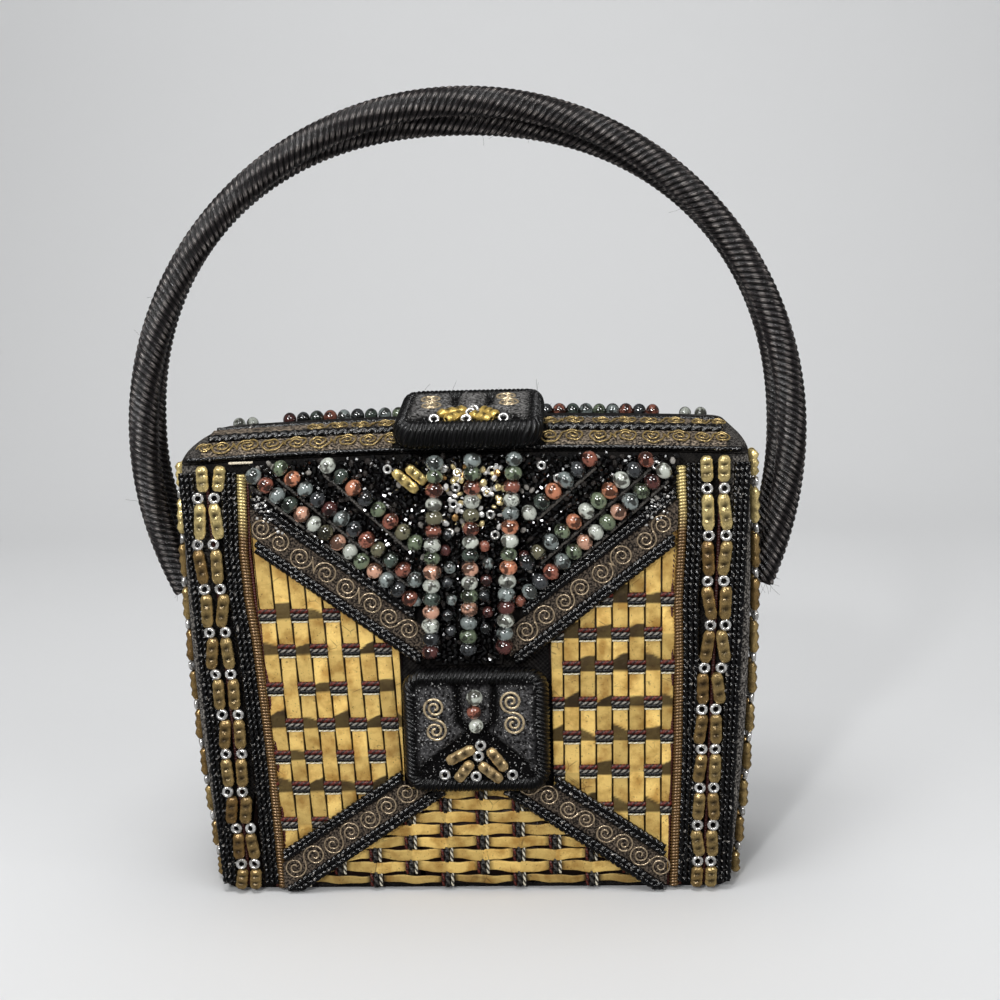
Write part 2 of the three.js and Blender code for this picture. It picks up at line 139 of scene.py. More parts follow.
class Value:
    """A socket of a material's nodes. An operator on it adds a Math node, so that sums read as Python."""

    def __init__(self, finish, socket):
        self.finish, self.socket = finish, socket

    def math(self, operation, *others):
        return self.finish.node("ShaderNodeMath", {"operation": operation}, [self, *others])

    def __add__(self, other):
        return self.math("ADD", other)

    def __sub__(self, other):
        return self.math("SUBTRACT", other)

    def __rsub__(self, other):
        return self.finish.node("ShaderNodeMath", {"operation": "SUBTRACT"}, [other, self])

    def __mul__(self, other):
        return self.math("MULTIPLY", other)

    __radd__, __rmul__ = __add__, __mul__

    def part(self, output):
        return self.finish.node("ShaderNodeSeparateXYZ", {}, [self], output)

    def band(self, low, high):
        """0 below low, 1 above high, and even between them."""
        return self.finish.node("ShaderNodeMapRange", {}, [self, low, high, 0.0, 1.0])


class Finish:
    """A material in the making: shade() sets its shader's sockets, and node() adds any other node."""

    def __init__(self, name, shader):
        self.made = bpy.data.materials.new(name)
        self.made.use_nodes = True
        self.tree = self.made.node_tree
        self.shade(shader)

    def put(self, socket, value):
        if isinstance(value, Value):
            self.tree.links.new(value.socket, socket)
        else:
            socket.default_value = value

    def shade(self, shader):
        for socket, value in shader.items():
            self.put(self.tree.nodes["Principled BSDF"].inputs[socket], value)

    def node(self, kind, settings, inputs, output=0):
        made = self.tree.nodes.new(kind)
        for key, value in settings.items():
            setattr(made, key, value)
        for key, value in inputs.items() if isinstance(inputs, dict) else enumerate(inputs):
            self.put(made.inputs[key], value)
        return Value(self, made.outputs[output])

    def place(self, kind="Object"):
        return self.node("ShaderNodeTexCoord", {}, {}, kind)

    def tint(self):
        return self.node("ShaderNodeAttribute", {"attribute_name": "tint"}, {}, "Color")

    def noise(self, scale, detail=2.0, at=None):
        at = at or self.place()
        return self.node("ShaderNodeTexNoise", {}, {"Vector": at, "Scale": scale, "Detail": detail})

    def mix(self, share, first, second, blend="MIX"):
        settings = {"data_type": "RGBA", "blend_type": blend}
        return self.node("ShaderNodeMix", settings, {0: share, 6: first, 7: second}, 2)

    def bump(self, height, distance, strength=1.0):
        return self.node("ShaderNodeBump", {}, {"Height": height, "Distance": distance, "Strength": strength})


def ink(code):
    """A colour code as the linear colour that a shader takes."""
    shares = np.array([int(code[i:i + 2], 16) for i in (1, 3, 5)]) / 255
    return (*np.where(shares <= 0.04045, shares / 12.92, ((shares + 0.055) / 1.055) ** 2.4).tolist(), 1.0)


def rgb(code, other=None, share=0):
    """A colour code as three linear shares, or a mix of two codes: the first times one less share, plus the
    other times share."""
    first = np.array(ink(code)[:3])
    return first if other is None else first * (1 - share) + np.array(ink(other)[:3]) * share


def quads(rows, columns):
    """Faces of a grid that closes on itself across: each joins corners j and j + 1 of rows i and i + 1."""
    i, j = np.meshgrid(np.arange(rows - 1) * columns, np.arange(columns), indexing="ij")
    k = (j + 1) % columns
    return np.stack([i + j, i + k, i + columns + k, i + columns + j], -1).reshape(-1, 4)


def set_down(name, skin, finish, body, replaces=(), tint=None, smooth=True):
    """A piece at the origin from corners in millimetres, faces and their map, with its faces turned
    outwards. The tint is one colour code, or a colour for each corner."""
    corners, faces, chart = skin
    a, b, c, d = (corners[faces[:, k]] for k in range(4))
    if np.einsum("ij,ij->", a - corners[0], np.cross(b - a, c - a) + np.cross(c - a, d - a)) < 0:
        faces, chart = faces[:, ::-1], chart[:, ::-1]
    mesh = bpy.data.meshes.new(name)
    mesh.from_pydata(corners * 0.001, [], faces.tolist())
    mesh.polygons.foreach_set("use_smooth", np.full(len(faces), smooth))
    mesh.uv_layers.new(name="chart").data.foreach_set("uv", chart.astype(np.float32).ravel())
    if tint is not None:
        tint = np.broadcast_to(rgb(tint) if isinstance(tint, str) else tint, corners.shape)
        colour = np.concatenate([tint, np.ones((len(tint), 1))], -1).astype(np.float32)
        mesh.attributes.new("tint", "FLOAT_COLOR", "POINT").data.foreach_set("color", colour.ravel())
    welded = bmesh.new()
    welded.from_mesh(mesh)
    bmesh.ops.remove_doubles(welded, verts=welded.verts, dist=1e-7)
    welded.to_mesh(mesh)
    welded.free()
    mesh.materials.append(finish.made)
    piece = bpy.data.objects.new(name, mesh)
    scene.collection.objects.link(piece)
    if body:
        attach(piece, body)
    if replaces:
        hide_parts(*replaces)
    return piece


def half_width(z):
    """Half the box's width at a height: a parabola that is widest near the rim."""
    narrower = (BOX["widest"] - BOX["base"]) / 2
    return BOX["widest"] / 2 - narrower * ((z - BOX["widest_at"]) / BOX["widest_at"]) ** 2


def crown(x):
    """Rise of the rim and the lid towards the middle: a parabola across the width."""
    return BOX["crown"] * (1 - (2 * x / BOX["widest"]) ** 2)


def rings(half_x, half_y, corner, height, lift):
    """Rounded rectangles as rows of a grid. Point j of row i is the corner's middle plus its radius times a
    direction, or slides along a side; height gives the row's level, and lift times the crown is added."""
    quarter = np.linspace(0, 1, 7)
    slide = np.linspace(0, 1, 26)[1:-1]
    ways = np.array([(1, 1), (-1, 1), (-1, -1), (1, -1), (1, 1)])
    sign, angle = [], []
    for k, (here, there) in enumerate(zip(ways, ways[1:])):
        sign.append(np.concatenate([np.tile(here, (7, 1)), here + (there - here) * slide[:, None]]))
        angle.append(np.pi / 2 * np.concatenate([k + quarter, np.full(24, k + 1)]))
    (sx, sy), angle = np.concatenate(sign).T, np.concatenate(angle)
    columns = (np.asarray(v, float)[:, None] for v in (half_x, half_y, corner, height, lift))
    half_x, half_y, corner, height, lift = columns
    radius = np.minimum(corner, half_y * 0.98)
    x = sx * (half_x - radius) + radius * np.cos(angle)
    y = sy * (half_y - radius) + radius * np.sin(angle)
    return np.stack([x, y, height + lift * crown(x)], -1)


def way_along(path):
    """Distance from a path's start to each of its points."""
    steps = np.linalg.norm(np.diff(path, axis=-2), axis=-1)
    return np.concatenate([np.zeros(steps.shape[:-1] + (1,)), np.cumsum(steps, -1)], -1)


def skin_of(grid, row, column):
    """A closed-across grid as corners, faces and a chart: millimetres around, as on one of its rows, and
    along, as on one of its columns."""
    n, m = grid.shape[:2]
    j = np.arange(m)
    along, around = way_along(grid[:, column]), way_along(grid[row])
    around = np.append(around, 2 * around[-1] - around[-2])
    u = np.stack([around[j], around[j + 1], around[j + 1], around[j]], -1)
    v = np.stack([along[:-1], along[:-1], along[1:], along[1:]], -1)
    chart = np.stack(np.broadcast_arrays(u[None], v[:, None]), -1).reshape(-1, 4, 2)
    return grid.reshape(-1, 3), quads(n, m), chart


cloth = Finish("black_cloth", {"Roughness": 0.85, "Specular IOR Level": 0.15})
chart = cloth.place("UV")
threads = (chart.part(0) * 5.2).math("SINE") * (chart.part(1) * 5.2).math("SINE")
worn = cloth.noise(420.0, 4.0).band(0.45, 0.75)
x_off, y_off = (cloth.place().part(axis).math("ABSOLUTE") for axis in (0, 1))
level = cloth.place().part(2)
rubbed = x_off.band(0.0655, 0.069) * level.band(0.116, 0.114)
by_corner = y_off.band(0.019, 0.0255) * 0.75 + 0.25
tips = x_off.band(0.058, 0.066) * level.band(0.1165, 0.1175) * 0.5
frayed = cloth.mix(cloth.noise(1900.0, 3.0).band(0.42, 0.64), ink("#151313"), ink("#8b8680"))
aged = cloth.mix((rubbed * by_corner).math("MAXIMUM", tips), ink("#070506"), frayed)
cloth.shade({
    "Base Color": cloth.mix(worn * 0.16 + (threads + 1) * 0.03, aged, ink("#57514b")),
    "Normal": cloth.bump(threads, 0.00022, 0.8),
})

up_outside = np.concatenate([FOOT[:, 0], np.linspace(FOOT[-1, 0], BOX["height"], 40)[1:]])
up = np.concatenate([[0], up_outside, np.linspace(BOX["height"], BOX["wall"], 20), [BOX["wall"]]])
inset = np.concatenate([FOOT[:1, 1], FOOT[:, 1], np.zeros(39), np.full(21, BOX["wall"])])
shrink = np.ones(len(up))
shrink[[0, -1]] = 0
corner = np.where(np.arange(len(up)) <= len(up_outside), BOX["corner"], BOX["corner_inside"])
lift = np.clip((up - BOX["crown_from"]) / (BOX["height"] - BOX["crown_from"]), 0, 1)
grid = rings((half_width(up) - inset) * shrink, (BOX["depth"] / 2 - inset) * shrink, corner, up, lift)
set_down("box_cover", skin_of(grid, 20, 40), cloth, "box", ["body_shell"])


# Lid cover: the same cloth over a stiff vaulted lid, open below. The vault is a bulging arch across the
# depth, and its ends are rounded down.
LID = {"rise": 6.7, "bulge": 1.68, "end_round": 8.0, "rim": 115.3, "rows": 26}


def vault(share):
    """Height of the lid's arch as a share of its rise, at a share of the half depth."""
    return (1 - np.abs(share) ** LID["bulge"]) ** (1 / LID["bulge"])


def lid_rings(grow):
    """Rows of the lid from the rim to the crest: each is a level slice of the vault, grown by a
    thickness."""
    share = np.sin(np.linspace(np.pi / 2, 0, LID["rows"]))
    height = vault(share)
    half_x = half_width(BOX["height"]) + grow - LID["end_round"] * (1 - np.sqrt(1 - height ** 2))
    half_y = (BOX["depth"] / 2 + grow) * share + 1e-9
    level = LID["rim"] + (LID["rise"] + grow) * height
    return rings(half_x, half_y, np.full(LID["rows"], BOX["corner"]), level, np.ones(LID["rows"]))


def on_lid(x, y, lift):
    """A point on the lid: the rim plus the crown and the vault, and then lift along the vault's normal."""
    x, y, lift = np.broadcast_arrays(np.asarray(x, float), y, lift)
    height = lambda depth: LID["rise"] * vault(np.minimum(1, np.abs(depth) / (BOX["depth"] / 2)))
    slope = (height(y + 0.05) - height(y - 0.05)) / 0.1
    size = np.sqrt(1 + slope ** 2)
    return np.stack([x, y - slope / size * lift, LID["rim"] + crown(x) + height(y) + lift / size], -1)


grid = np.concatenate([lid_rings(-BOX["wall"])[::-1], lid_rings(0)])
set_down("lid_cover", skin_of(grid, LID["rows"], 12), cloth, "lid", ["lid_shell"])


# Brass weave: flat strips of brass foil side by side, woven over and under pairs of twisted thread. Each
# strip dives where a thread pair shows, and has a patch of painted shadow just above the place where it rides
# over one.
FRONT = -BOX["depth"] / 2
TOWARDS = np.array([0.0, -1, 0])
RIBBONS = {
    # ends of the middle line in x and z: outer, inner
    "upper_left": ((-60, 104.7), (-9, 67.2)),
    "upper_right": ((60, 104.9), (9.5, 66.7)),
    "lower_left": ((-58, -0.2), (-8, 33.6)),
    "lower_right": ((60, -0.9), (8, 34.8)),
}


def on_front(x, z, off):
    """A point off the front of the box, from its place across, its height and its distance off."""
    return np.stack(np.broadcast_arrays(np.asarray(x, float), FRONT - np.asarray(off, float), z), -1)


def ribbon_height(name, x):
    """Height of a ribbon's middle line at a place across."""
    (x0, z0), (x1, z1) = RIBBONS[name]
    return z0 + (z1 - z0) * (x - x0) / (x1 - x0)


def leaning(at_foot, z):
    """Place across of a line beside the fields, from its place at the foot: the lines lean out evenly."""
    return at_foot + 0.038 * z


def joined(skins):
    """Several skins as one: the corner numbers of each follow on from the last."""
    start = np.cumsum([0] + [len(corners) for corners, _, _ in skins[:-1]])
    return (
        np.concatenate([corners for corners, _, _ in skins]),
        np.concatenate([faces + first for (_, faces, _), first in zip(skins, start)]),
        np.concatenate([chart for _, _, chart in skins]),
    )


def square_to(path, off):
    """Directions across a path and off what it lies on: the way along times off, and that times the way
    along."""
    along = np.gradient(path, axis=-2)
    side = np.cross(along, off)
    side /= np.linalg.norm(side, axis=-1, keepdims=True)
    lift = np.cross(side, along)
    return side, lift / np.linalg.norm(lift, axis=-1, keepdims=True)


def carried(path, off, across, out):
    """Closed sections carried along one or more paths: corner j of section i is path[i] plus across[i, j]
    times the direction across plus out[i, j] times the direction off. Both ends close at a point."""
    side, lift = square_to(path, off)
    n, m = path.shape[-2], across.shape[-1]
    grid = path[..., None, :] + across[..., None] * side[..., None, :] + out[..., None] * lift[..., None, :]
    tips = np.broadcast_to(path[..., [0, -1], None, :], grid.shape[:-3] + (2, m, 3))
    grid = np.concatenate([tips[..., :1, :, :], grid, tips[..., 1:, :, :]], -3).reshape(-1, n + 2, m, 3)
    way = way_along(path).reshape(-1, n)
    way = np.concatenate([way[:, :1], way, way[:, -1:]], -1)
    faces = quads(n + 2, m) + (n + 2) * m * np.arange(len(grid))[:, None, None]
    j = np.arange(m)
    u = np.stack([way[:, :-1], way[:, :-1], way[:, 1:], way[:, 1:]], -1)[:, :, None]
    v = np.stack([j, j + 1, j + 1, j], -1) / m
    chart = np.stack(np.broadcast_arrays(u, v), -1)
    return grid.reshape(-1, 3), faces.reshape(-1, 4), chart.reshape(-1, 4, 2)


def ridge(share, swell=0.5):
    """Height of a round ridge at a share of its width, nearly 0 at both edges and 1 in the middle."""
    return (1 - (0.96 * (2 * (share % 1) - 1)) ** 2) ** swell


def laid(path, off, radius, strands, turn_in, hollow=0.35, fine=6, flat=1.0, swell=0.5):
    """A laid cord: strands round ridges about the middle, turned once in every turn_in along the path. The
    grooves are hollow deep, as a share of the radius."""
    share = np.arange(strands * fine) / (strands * fine)
    angle = 2 * np.pi * (share + way_along(path)[..., None] / turn_in)
    reach = radius * (1 - hollow + hollow * ridge(share * strands, swell))
    return carried(path, off, flat * reach * np.cos(angle), reach * np.sin(angle))


brass = Finish("brass_foil", {"Metallic": 0.3, "Specular IOR Level": 0.4})
pit = brass.noise(1700.0).band(0.66, 0.7)
cloud = brass.noise(240.0, 4.0)
crackle = brass.node(
    "ShaderNodeTexVoronoi", {"feature": "DISTANCE_TO_EDGE"}, {"Vector": brass.place(), "Scale": 210.0},
)
scratch = (1 - crackle.band(0.01, 0.024)) * brass.noise(130.0).band(0.6, 0.66)
dull = brass.mix(1.0, brass.tint(), ink("#ad9058"), "MULTIPLY")
stained = brass.mix(cloud.band(0.42, 0.66) * 0.75, brass.tint(), dull)
brass.shade({
    "Base Color": brass.mix((pit * 0.55).math("MAXIMUM", scratch * 0.55), stained, ink("#38280f")),
    "Roughness": 0.4 + cloud * 0.25,
    "Normal": brass.bump(cloud + brass.noise(1500.0), 0.00018, 0.7),
})
thread = Finish("weave_thread", {"Roughness": 0.5, "Specular IOR Level": 0.4})
thread.shade({
    "Base Color": thread.tint(),
    "Normal": thread.bump((thread.place("UV").part(0) * 9.0).math("SINE"), 0.0001, 0.5),
})

FOIL = {"thickness": 0.3, "middle": 0.78, "swing": 0.34, "half": 1.97, "step": 4.2, "points": 190}
# A strip's section as shares of its half width and its thickness, and the brightness of its edges
SECTION = np.array([
    [-1, 0], [-0.97, 0.75], [-0.87, 1], [-0.4, 1], [0, 1], [0.4, 1], [0.87, 1], [0.97, 0.75], [1, 0],
])
EDGES = np.array([0.15, 0.3, 1, 1, 1, 1, 1, 0.3, 0.15])[:, None]
# The most lengths that a strip has between rows of thread, and the points along a thread that shows
LENGTHS = 40
RUN = np.linspace(-1, 1, 11)
THREAD = {"strands": 4, "hollow": 0.32, "fine": 3}


def strips(path, half, phase, shade):
    """Foil strips along paths on the front: a flat section whose distance off swings with the phase. The
    shade takes the colour from bright brass to the dark brown of painted shadow, each length between two
    rows has its own brightness, and the cut edges are dark."""
    off = FOIL["middle"] - FOIL["swing"] * np.cos(np.pi * phase)
    rise = np.broadcast_to(FOIL["thickness"] * SECTION[:, 1], half.shape + (len(SECTION),))
    skin = carried(path + off[..., None] * TOWARDS, TOWARDS, half[..., None] * SECTION[:, 0], rise)
    bright = 0.74 + 0.46 * rng.random((len(path), LENGTHS))
    bright = np.take_along_axis(bright, np.floor(phase).astype(int) % LENGTHS, 1)[..., None, None]
    # shade mixes in the dark brown of painted shadow
    gold = rgb("#e9c573") * bright * (1 - shade[..., None]) * EDGES + rgb("#2a1e07") * shade[..., None]
    return skin, np.concatenate([gold[:, :1], gold, gold[:, -1:]], 1).reshape(-1, 3)


def backing(name, x, low, high):
    """A thin dark cloth behind the strips: a flat section along x that reaches from low to high."""
    skin = carried(
        on_front(x, (low + high) / 2, 0.1), TOWARDS,
        (high - low)[:, None] / 2 * np.array([-1, 1, 1, -1]), np.tile([0, 0, 0.2, 0.2], (len(x), 1)),
    )
    set_down(name, skin, thread, "box", (), "#1c0906")


def dashes(name, path, cords):
    """Short lengths of laid thread that show between the strips: one cord for each row of the table, along
    each path, with its strands in turn in the colours given."""
    skins, tints = [], []
    strand = np.repeat(np.arange(THREAD["strands"]), THREAD["fine"])
    for shift, radius, turn_in, codes in cords:
        skin = laid(path + np.array(shift), TOWARDS, radius, turn_in=turn_in, **THREAD)
        tone = np.array([rgb(code) for code in codes])[strand % len(codes)]
        skins.append(skin)
        tints.append(np.tile(tone, (len(skin[0]) // len(strand), 1)))
    set_down(name, joined(skins), thread, "box", (), np.concatenate(tints))


def cut_off(x, half, side, outer, inner):
    """Left and right ends of something about x, cut off where it would pass the field's outer or inner
    edge."""
    first, last = (-outer, inner) if side < 0 else (inner, outer)
    return np.maximum(x - half, first), np.minimum(x + half, last)


SIDE_WEAVE = {
    # first strip's x at the base, strips, lean, field's inner edge, heights of the thread rows
    "left": (-52.1, 10, -0.05, -17.6, (18.9, 28.8, 37.3, 46.1, 55.9, 66.1, 75.5)),
    "right": (21.9, 9, 0.012, 21.6, (22.4, 32.6, 41.9, 51.0, 60.6, 69.3, 78.4)),
}
ROW_STEP = 9.3
SIDE_CORDS = [
    # shift, radius, turned once in, colours of the strands
    ((0, 0, 1.3), 0.68, 3.6, ["#5f1d12", "#2b0c07"]),
    ((0, -0.1, 0.15), 0.55, 3.2, ["#050405", "#8a857c"]),
    # The third cord, black all round, is a painted shadow under the twisted pair above it.
    ((0, 0, -0.8), 0.55, 4.0, ["#040304", "#0a0808"]),
    ((0, 0.1, -1.6), 0.28, 3.0, ["#efe7d0", "#c4b894"]),
]
for word, (first, count, lean, inner, heights) in SIDE_WEAVE.items():
    side = np.sign(first)
    middle = first + FOIL["step"] * np.arange(count)
    low = np.maximum(ribbon_height(f"lower_{word}", middle + lean * 20), 3)
    high = ribbon_height(f"upper_{word}", middle + lean * 85)
    z = low[:, None] + (high - low)[:, None] * np.linspace(0, 1, FOIL["points"])
    left, right = cut_off(middle[:, None] + lean * z, FOIL["half"], side, leaning(50.9, z), inner)
    half = np.maximum(right - left, 0.05) / 2
    heights = np.array(heights)
    ladder = np.concatenate([heights[:1] - ROW_STEP / 2, heights, heights[-1:] + ROW_STEP / 2])
    steps = [-0.5, *range(len(heights)), len(heights) - 0.5]
    phase = np.interp(z, ladder, steps) + np.arange(count)[:, None] + 1

    # The painted shadow starts at the row and ends on a line of its own slope and bow on each strip.
    row = np.round(phase).astype(int)
    draw = rng.random((count, LENGTHS, 4))
    pick = lambda k: np.take_along_axis(draw[..., k], row % LENGTHS, 1)[..., None]
    past = ((phase - row) * ROW_STEP)[..., None]
    bow = 0.6 * (pick(2) - 0.3) * SECTION[:, 0] ** 2
    top = 1.6 + 2.3 * pick(0) + (pick(1) - 0.5) * 2.4 * SECTION[:, 0] - bow
    painted_shadow = np.clip((past + 0.9) / 0.2, 0, 1) * np.clip((np.minimum(top, 4.3) - past) / 0.2, 0, 1)
    shade = painted_shadow * (row % 2 == 1)[..., None] * np.where(pick(3) > 0.25, 0.84 + 0.12 * pick(1), 0.1)
    skin, tint = strips(on_front((left + right) / 2, z, 0), half, phase, shade)
    set_down(f"brass_strips_{word}", skin, brass, "box", [f"weave_{word}"], tint)

    across = np.linspace(side * 53.5, inner, 60)
    foot = np.maximum(ribbon_height(f"lower_{word}", across), 3)
    backing(f"weave_backing_{word}", across, foot, ribbon_height(f"upper_{word}", across))

    i, k = np.meshgrid(np.arange(count), np.arange(len(heights)), indexing="ij")
    at = heights[k]
    mid = middle[i] + lean * at
    shown = ((i + k) % 2 == 1) & (at > low[i] + 3) & (at < high[i] - 3)
    shown &= (side * mid < leaning(52.6, at)) & (side * mid > side * inner + 0.5)
    at, mid = at[shown][:, None], mid[shown][:, None]
    start, stop = cut_off(mid, 2.25, side, leaning(51.2, at), inner + 0.2 * side)
    path = on_front(((start + stop) + (stop - start) * RUN) / 2, at, 0.85 + 0.3 * (1 - RUN ** 4))
    dashes(f"weave_threads_{word}", path, SIDE_CORDS)

BOTTOM = {"rows": 8, "first_z": 3.2, "step_z": 3.43, "first_x": 2.6, "step_x": 9.55, "half_wide": 50.5}
# The slanting edges of the bottom field: height in the middle, and fall for each millimetre out
BOTTOM_EDGES = {"left": (38.99, 0.6763), "right": (40.24, 0.6858)}
BOTTOM_CORDS = [
    # shift, radius, turned once in, colours of the strands
    ((-1.3, 0, 0), 0.5, 4.0, ["#55190f", "#260c08"]),
    ((-0.15, -0.1, 0), 0.72, 4.2, ["#050405", "#3a3733"]),
    ((1.1, 0, 0), 0.46, 3.4, ["#d3ccb8", "#3d3933"]),
]
row = np.arange(BOTTOM["rows"])[:, None]
lowest = row == 0
z = BOTTOM["first_z"] + BOTTOM["step_z"] * row[:, 0]
(left_top, left_fall), (right_top, right_fall) = BOTTOM_EDGES.values()
left = np.maximum(-BOTTOM["half_wide"], (z - left_top) / left_fall)
right = np.minimum(BOTTOM["half_wide"], (right_top - z) / right_fall)
x = left[:, None] + (right - left)[:, None] * np.linspace(0, 1, FOIL["points"])
phase = (x - BOTTOM["first_x"]) / BOTTOM["step_x"] + row + 1
wave = z[:, None] + 0.16 * np.sin(np.pi * phase + row * 0.9) + 0.12 * np.sin(x * 0.9 + row * 2.1)
half = np.where(lowest, 1.0, 1.45) - 0.16 * np.cos(np.pi * phase)
# Painted shade where each strip dives under a thread; the lowest row is also darker all along.
shade = np.clip(np.cos(np.pi * phase) * 2.2 - 1.3, 0, 0.55) + np.where(lowest, 0.45, 0.04)
skin, tint = strips(on_front(x, wave, 0), half, phase, np.repeat(shade[..., None], len(SECTION), -1))
set_down("brass_strips_bottom", skin, brass, "box", ["weave_bottom"], tint)
across = np.linspace(-51.5, 51.5, 90)
roof = np.minimum(ribbon_height("lower_left", across), ribbon_height("lower_right", across))
backing("weave_backing_bottom", across, np.full(90, 1.6), np.clip(roof, 2, 28.5))
i, k = np.meshgrid(row[:, 0], np.arange(-6, 7), indexing="ij")
mid, at = BOTTOM["first_x"] + BOTTOM["step_x"] * k, z[i]
shown = ((i + k) % 2 == 1) & (mid > left[i] + 4) & (mid < right[i] - 4)
mid, at = mid[shown][:, None], at[shown][:, None]
dashes("weave_threads_bottom", on_front(mid, at + 1.9 * RUN, 0.8 + 0.35 * (1 - RUN ** 4)), BOTTOM_CORDS)


# Scroll ribbons: grey-brown felt bands over the joins of the front and along the lid, with a running scroll
# of fine wire couched on each. The wire makes S scrolls: out of one spiral, straight across, into the next.
def felt_of(name, scale, detail, high, dark, light):
    """Felt: two colours mixed by a fine noise, which also roughens it."""
    felt = Finish(name, {"Roughness": 0.95, "Specular IOR Level": 0.2})
    fuzz = felt.noise(scale, detail)
    felt.shade({
        "Base Color": felt.mix(fuzz.band(0.42, high), ink(dark), ink(light)),
        "Normal": felt.bump(fuzz, 0.0004, 0.8),
    })
    return felt


def dress(node, finish):
    """Gives a CAD node a finish and leaves its shape alone."""
    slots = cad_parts[node].data.materials
    slots.clear()
    slots.append(finish.made)


def s_scroll(first, second, radius, turns=2.05, eye=0.45):
    """An S scroll in the plane as a path: it winds out of the first middle, runs straight to the far side
    of the second, and winds into it the other way round. The radius grows evenly with the angle."""
    first, second = np.asarray(first, float), np.asarray(second, float)
    run = second - first
    span = np.linalg.norm(run)
    lean = np.arctan2(run[1], run[0]) + np.arccos(np.clip(2 * radius / span, -1, 1))
    share = np.linspace(0, 1, 64)[:, None]
    angle = lean - 2 * np.pi * turns * (1 - share)
    reach = (eye + (radius - eye) * share) * np.concatenate([np.cos(angle), np.sin(angle)], -1)
    out, back = first + reach, (second - reach)[::-1]
    between = out[-1] + (back[0] - out[-1]) * np.linspace(0, 1, 6)[1:-1, None]
    return np.concatenate([out, between, back])


def wired(paths, off, thick, sides=6):
    """Round wire along several paths of equal count, with a few sides."""
    angle = 2 * np.pi * np.arange(sides) / sides
    around = np.broadcast_to(thick / 2 * np.cos(angle), paths.shape[:-1] + (sides,))
    return carried(paths, off, around, np.broadcast_to(thick / 2 * np.sin(angle), around.shape))


def scroll_run(middles, radius):
    """S scrolls on a row of middles, two by two, each as wide as the gap between its own two allows. Where
    their count is odd, the last is one spiral alone."""
    middles = np.array(middles, float)
    wide = np.minimum(radius, 0.495 * np.linalg.norm(middles[1:] - middles[:-1], axis=-1))
    run = [s_scroll(middles[k], middles[k + 1], wide[k]) for k in range(0, len(middles) - 1, 2)]
    if len(middles) % 2:
        alone = s_scroll(middles[-1], 2 * middles[-1] - middles[-2], wide[-1])
        run.append(np.repeat(alone[:66], 2, 0) * 0.5 + np.repeat(alone[:67], 2, 0)[1:-1] * 0.5)
    return np.array(run)


WIRE = {"radius": 3.15, "thick": 0.44, "lid_radius": 3.1, "lid_thick": 0.48}
SCROLLS = {
    # middles of the spirals in x and z, from the outer end
    "upper_left": (
        (-51.6, 98.9), (-47.2, 95.2), (-42, 91.2), (-35.6, 86.9), (-30.4, 83.2), (-24.2, 78.7), (-19.6, 75.1),
        (-14.9, 71.8),
    ),
    "upper_right": (
        (50.4, 98), (46.2, 94.2), (40.2, 90.1), (34.9, 85.9), (29.6, 82), (25.4, 78.6), (20.4, 74.9),
        (15.4, 71.1),
    ),
    "lower_left": (
        (-47.6, 7.3), (-42.2, 10.6), (-37.2, 13.8), (-32.3, 17.1), (-27.2, 20.7), (-22.2, 24.1),
        (-17.1, 27.8),
    ),
    "lower_right": (
        (49, 7), (43.8, 10.2), (39.6, 13.3), (34.9, 16.3), (29.8, 20), (25.4, 22.9), (20.1, 26.6), (15, 29.8),
    ),
}
LID_SCROLLS = {
    # middle y, half the ribbon's width, middles of the spirals in x
    "front_left": (-23.9, 2.6, (-17.9, -23.7, -29.5, -36.6, -42.4, -49, -54.9, -62, -66.4)),
    "front_right": (-23.9, 2.6, (22.3, 28.4, 35, 42, 48.4, 55.4, 61.2, 66)),
    "rear_left": (-14.5, 2.8, (-20.6, -27, -33, -38.9)),
    "rear_right": (-14.5, 2.8, (22.4, 28.8, 36, 42.4, 48.4, 54.9, 61.2, 66)),
}
ribbon_felt = felt_of("ribbon_felt", 1900.0, 4.0, 0.7, "#0e0a08", "#6e6154")
lid_felt = felt_of("lid_felt", 1700.0, 5.0, 0.66, "#16110e", "#978876")
wire = Finish("scroll_wire", {"Metallic": 0.5, "Roughness": 0.26})
wire.shade({"Base Color": wire.mix(wire.noise(900.0).band(0.45, 0.7) * 0.6, wire.tint(), ink("#4f4034"))})
for name, middles in SCROLLS.items():
    dress(f"ribbon_{name}", ribbon_felt)
    x, z = np.moveaxis(scroll_run(middles, WIRE["radius"]), -1, 0)
    skin = wired(on_front(x, z, 2.58 + 0.1 * np.sin(x * 3.1)), TOWARDS, WIRE["thick"])
    set_down(f"scroll_{name}", skin, wire, "box", (), "#b8a488")
for name, (middle_y, half_wide, middles) in LID_SCROLLS.items():
    dress(f"lid_ribbon_{name}", lid_felt)
    x, y = np.moveaxis(scroll_run([(x, 0) for x in middles], WIRE["lid_radius"]), -1, 0)
    y = middle_y + y * half_wide / WIRE["lid_radius"]
    path = on_lid(x, y, 1.45 + 0.15 * np.sin(x * 2.3))
    skin = wired(path, on_lid(x, y, 2.6) - path, WIRE["lid_thick"])
    set_down(f"scroll_lid_{name}", skin, wire, "lid", (), "#ad9560")


# Edge cords: black gimp laid along both edges of each ribbon, glossy, with pale flecks painted into its
# colour as glints: painted highlights. Each is two fine cords side by side, laid opposite ways.
GIMP = {"radius": 1.0, "strands": 2, "hollow": 0.5, "fine": 5}
GIMP_OFF, GIMP_ENDS_IN = 2.35, 0.8
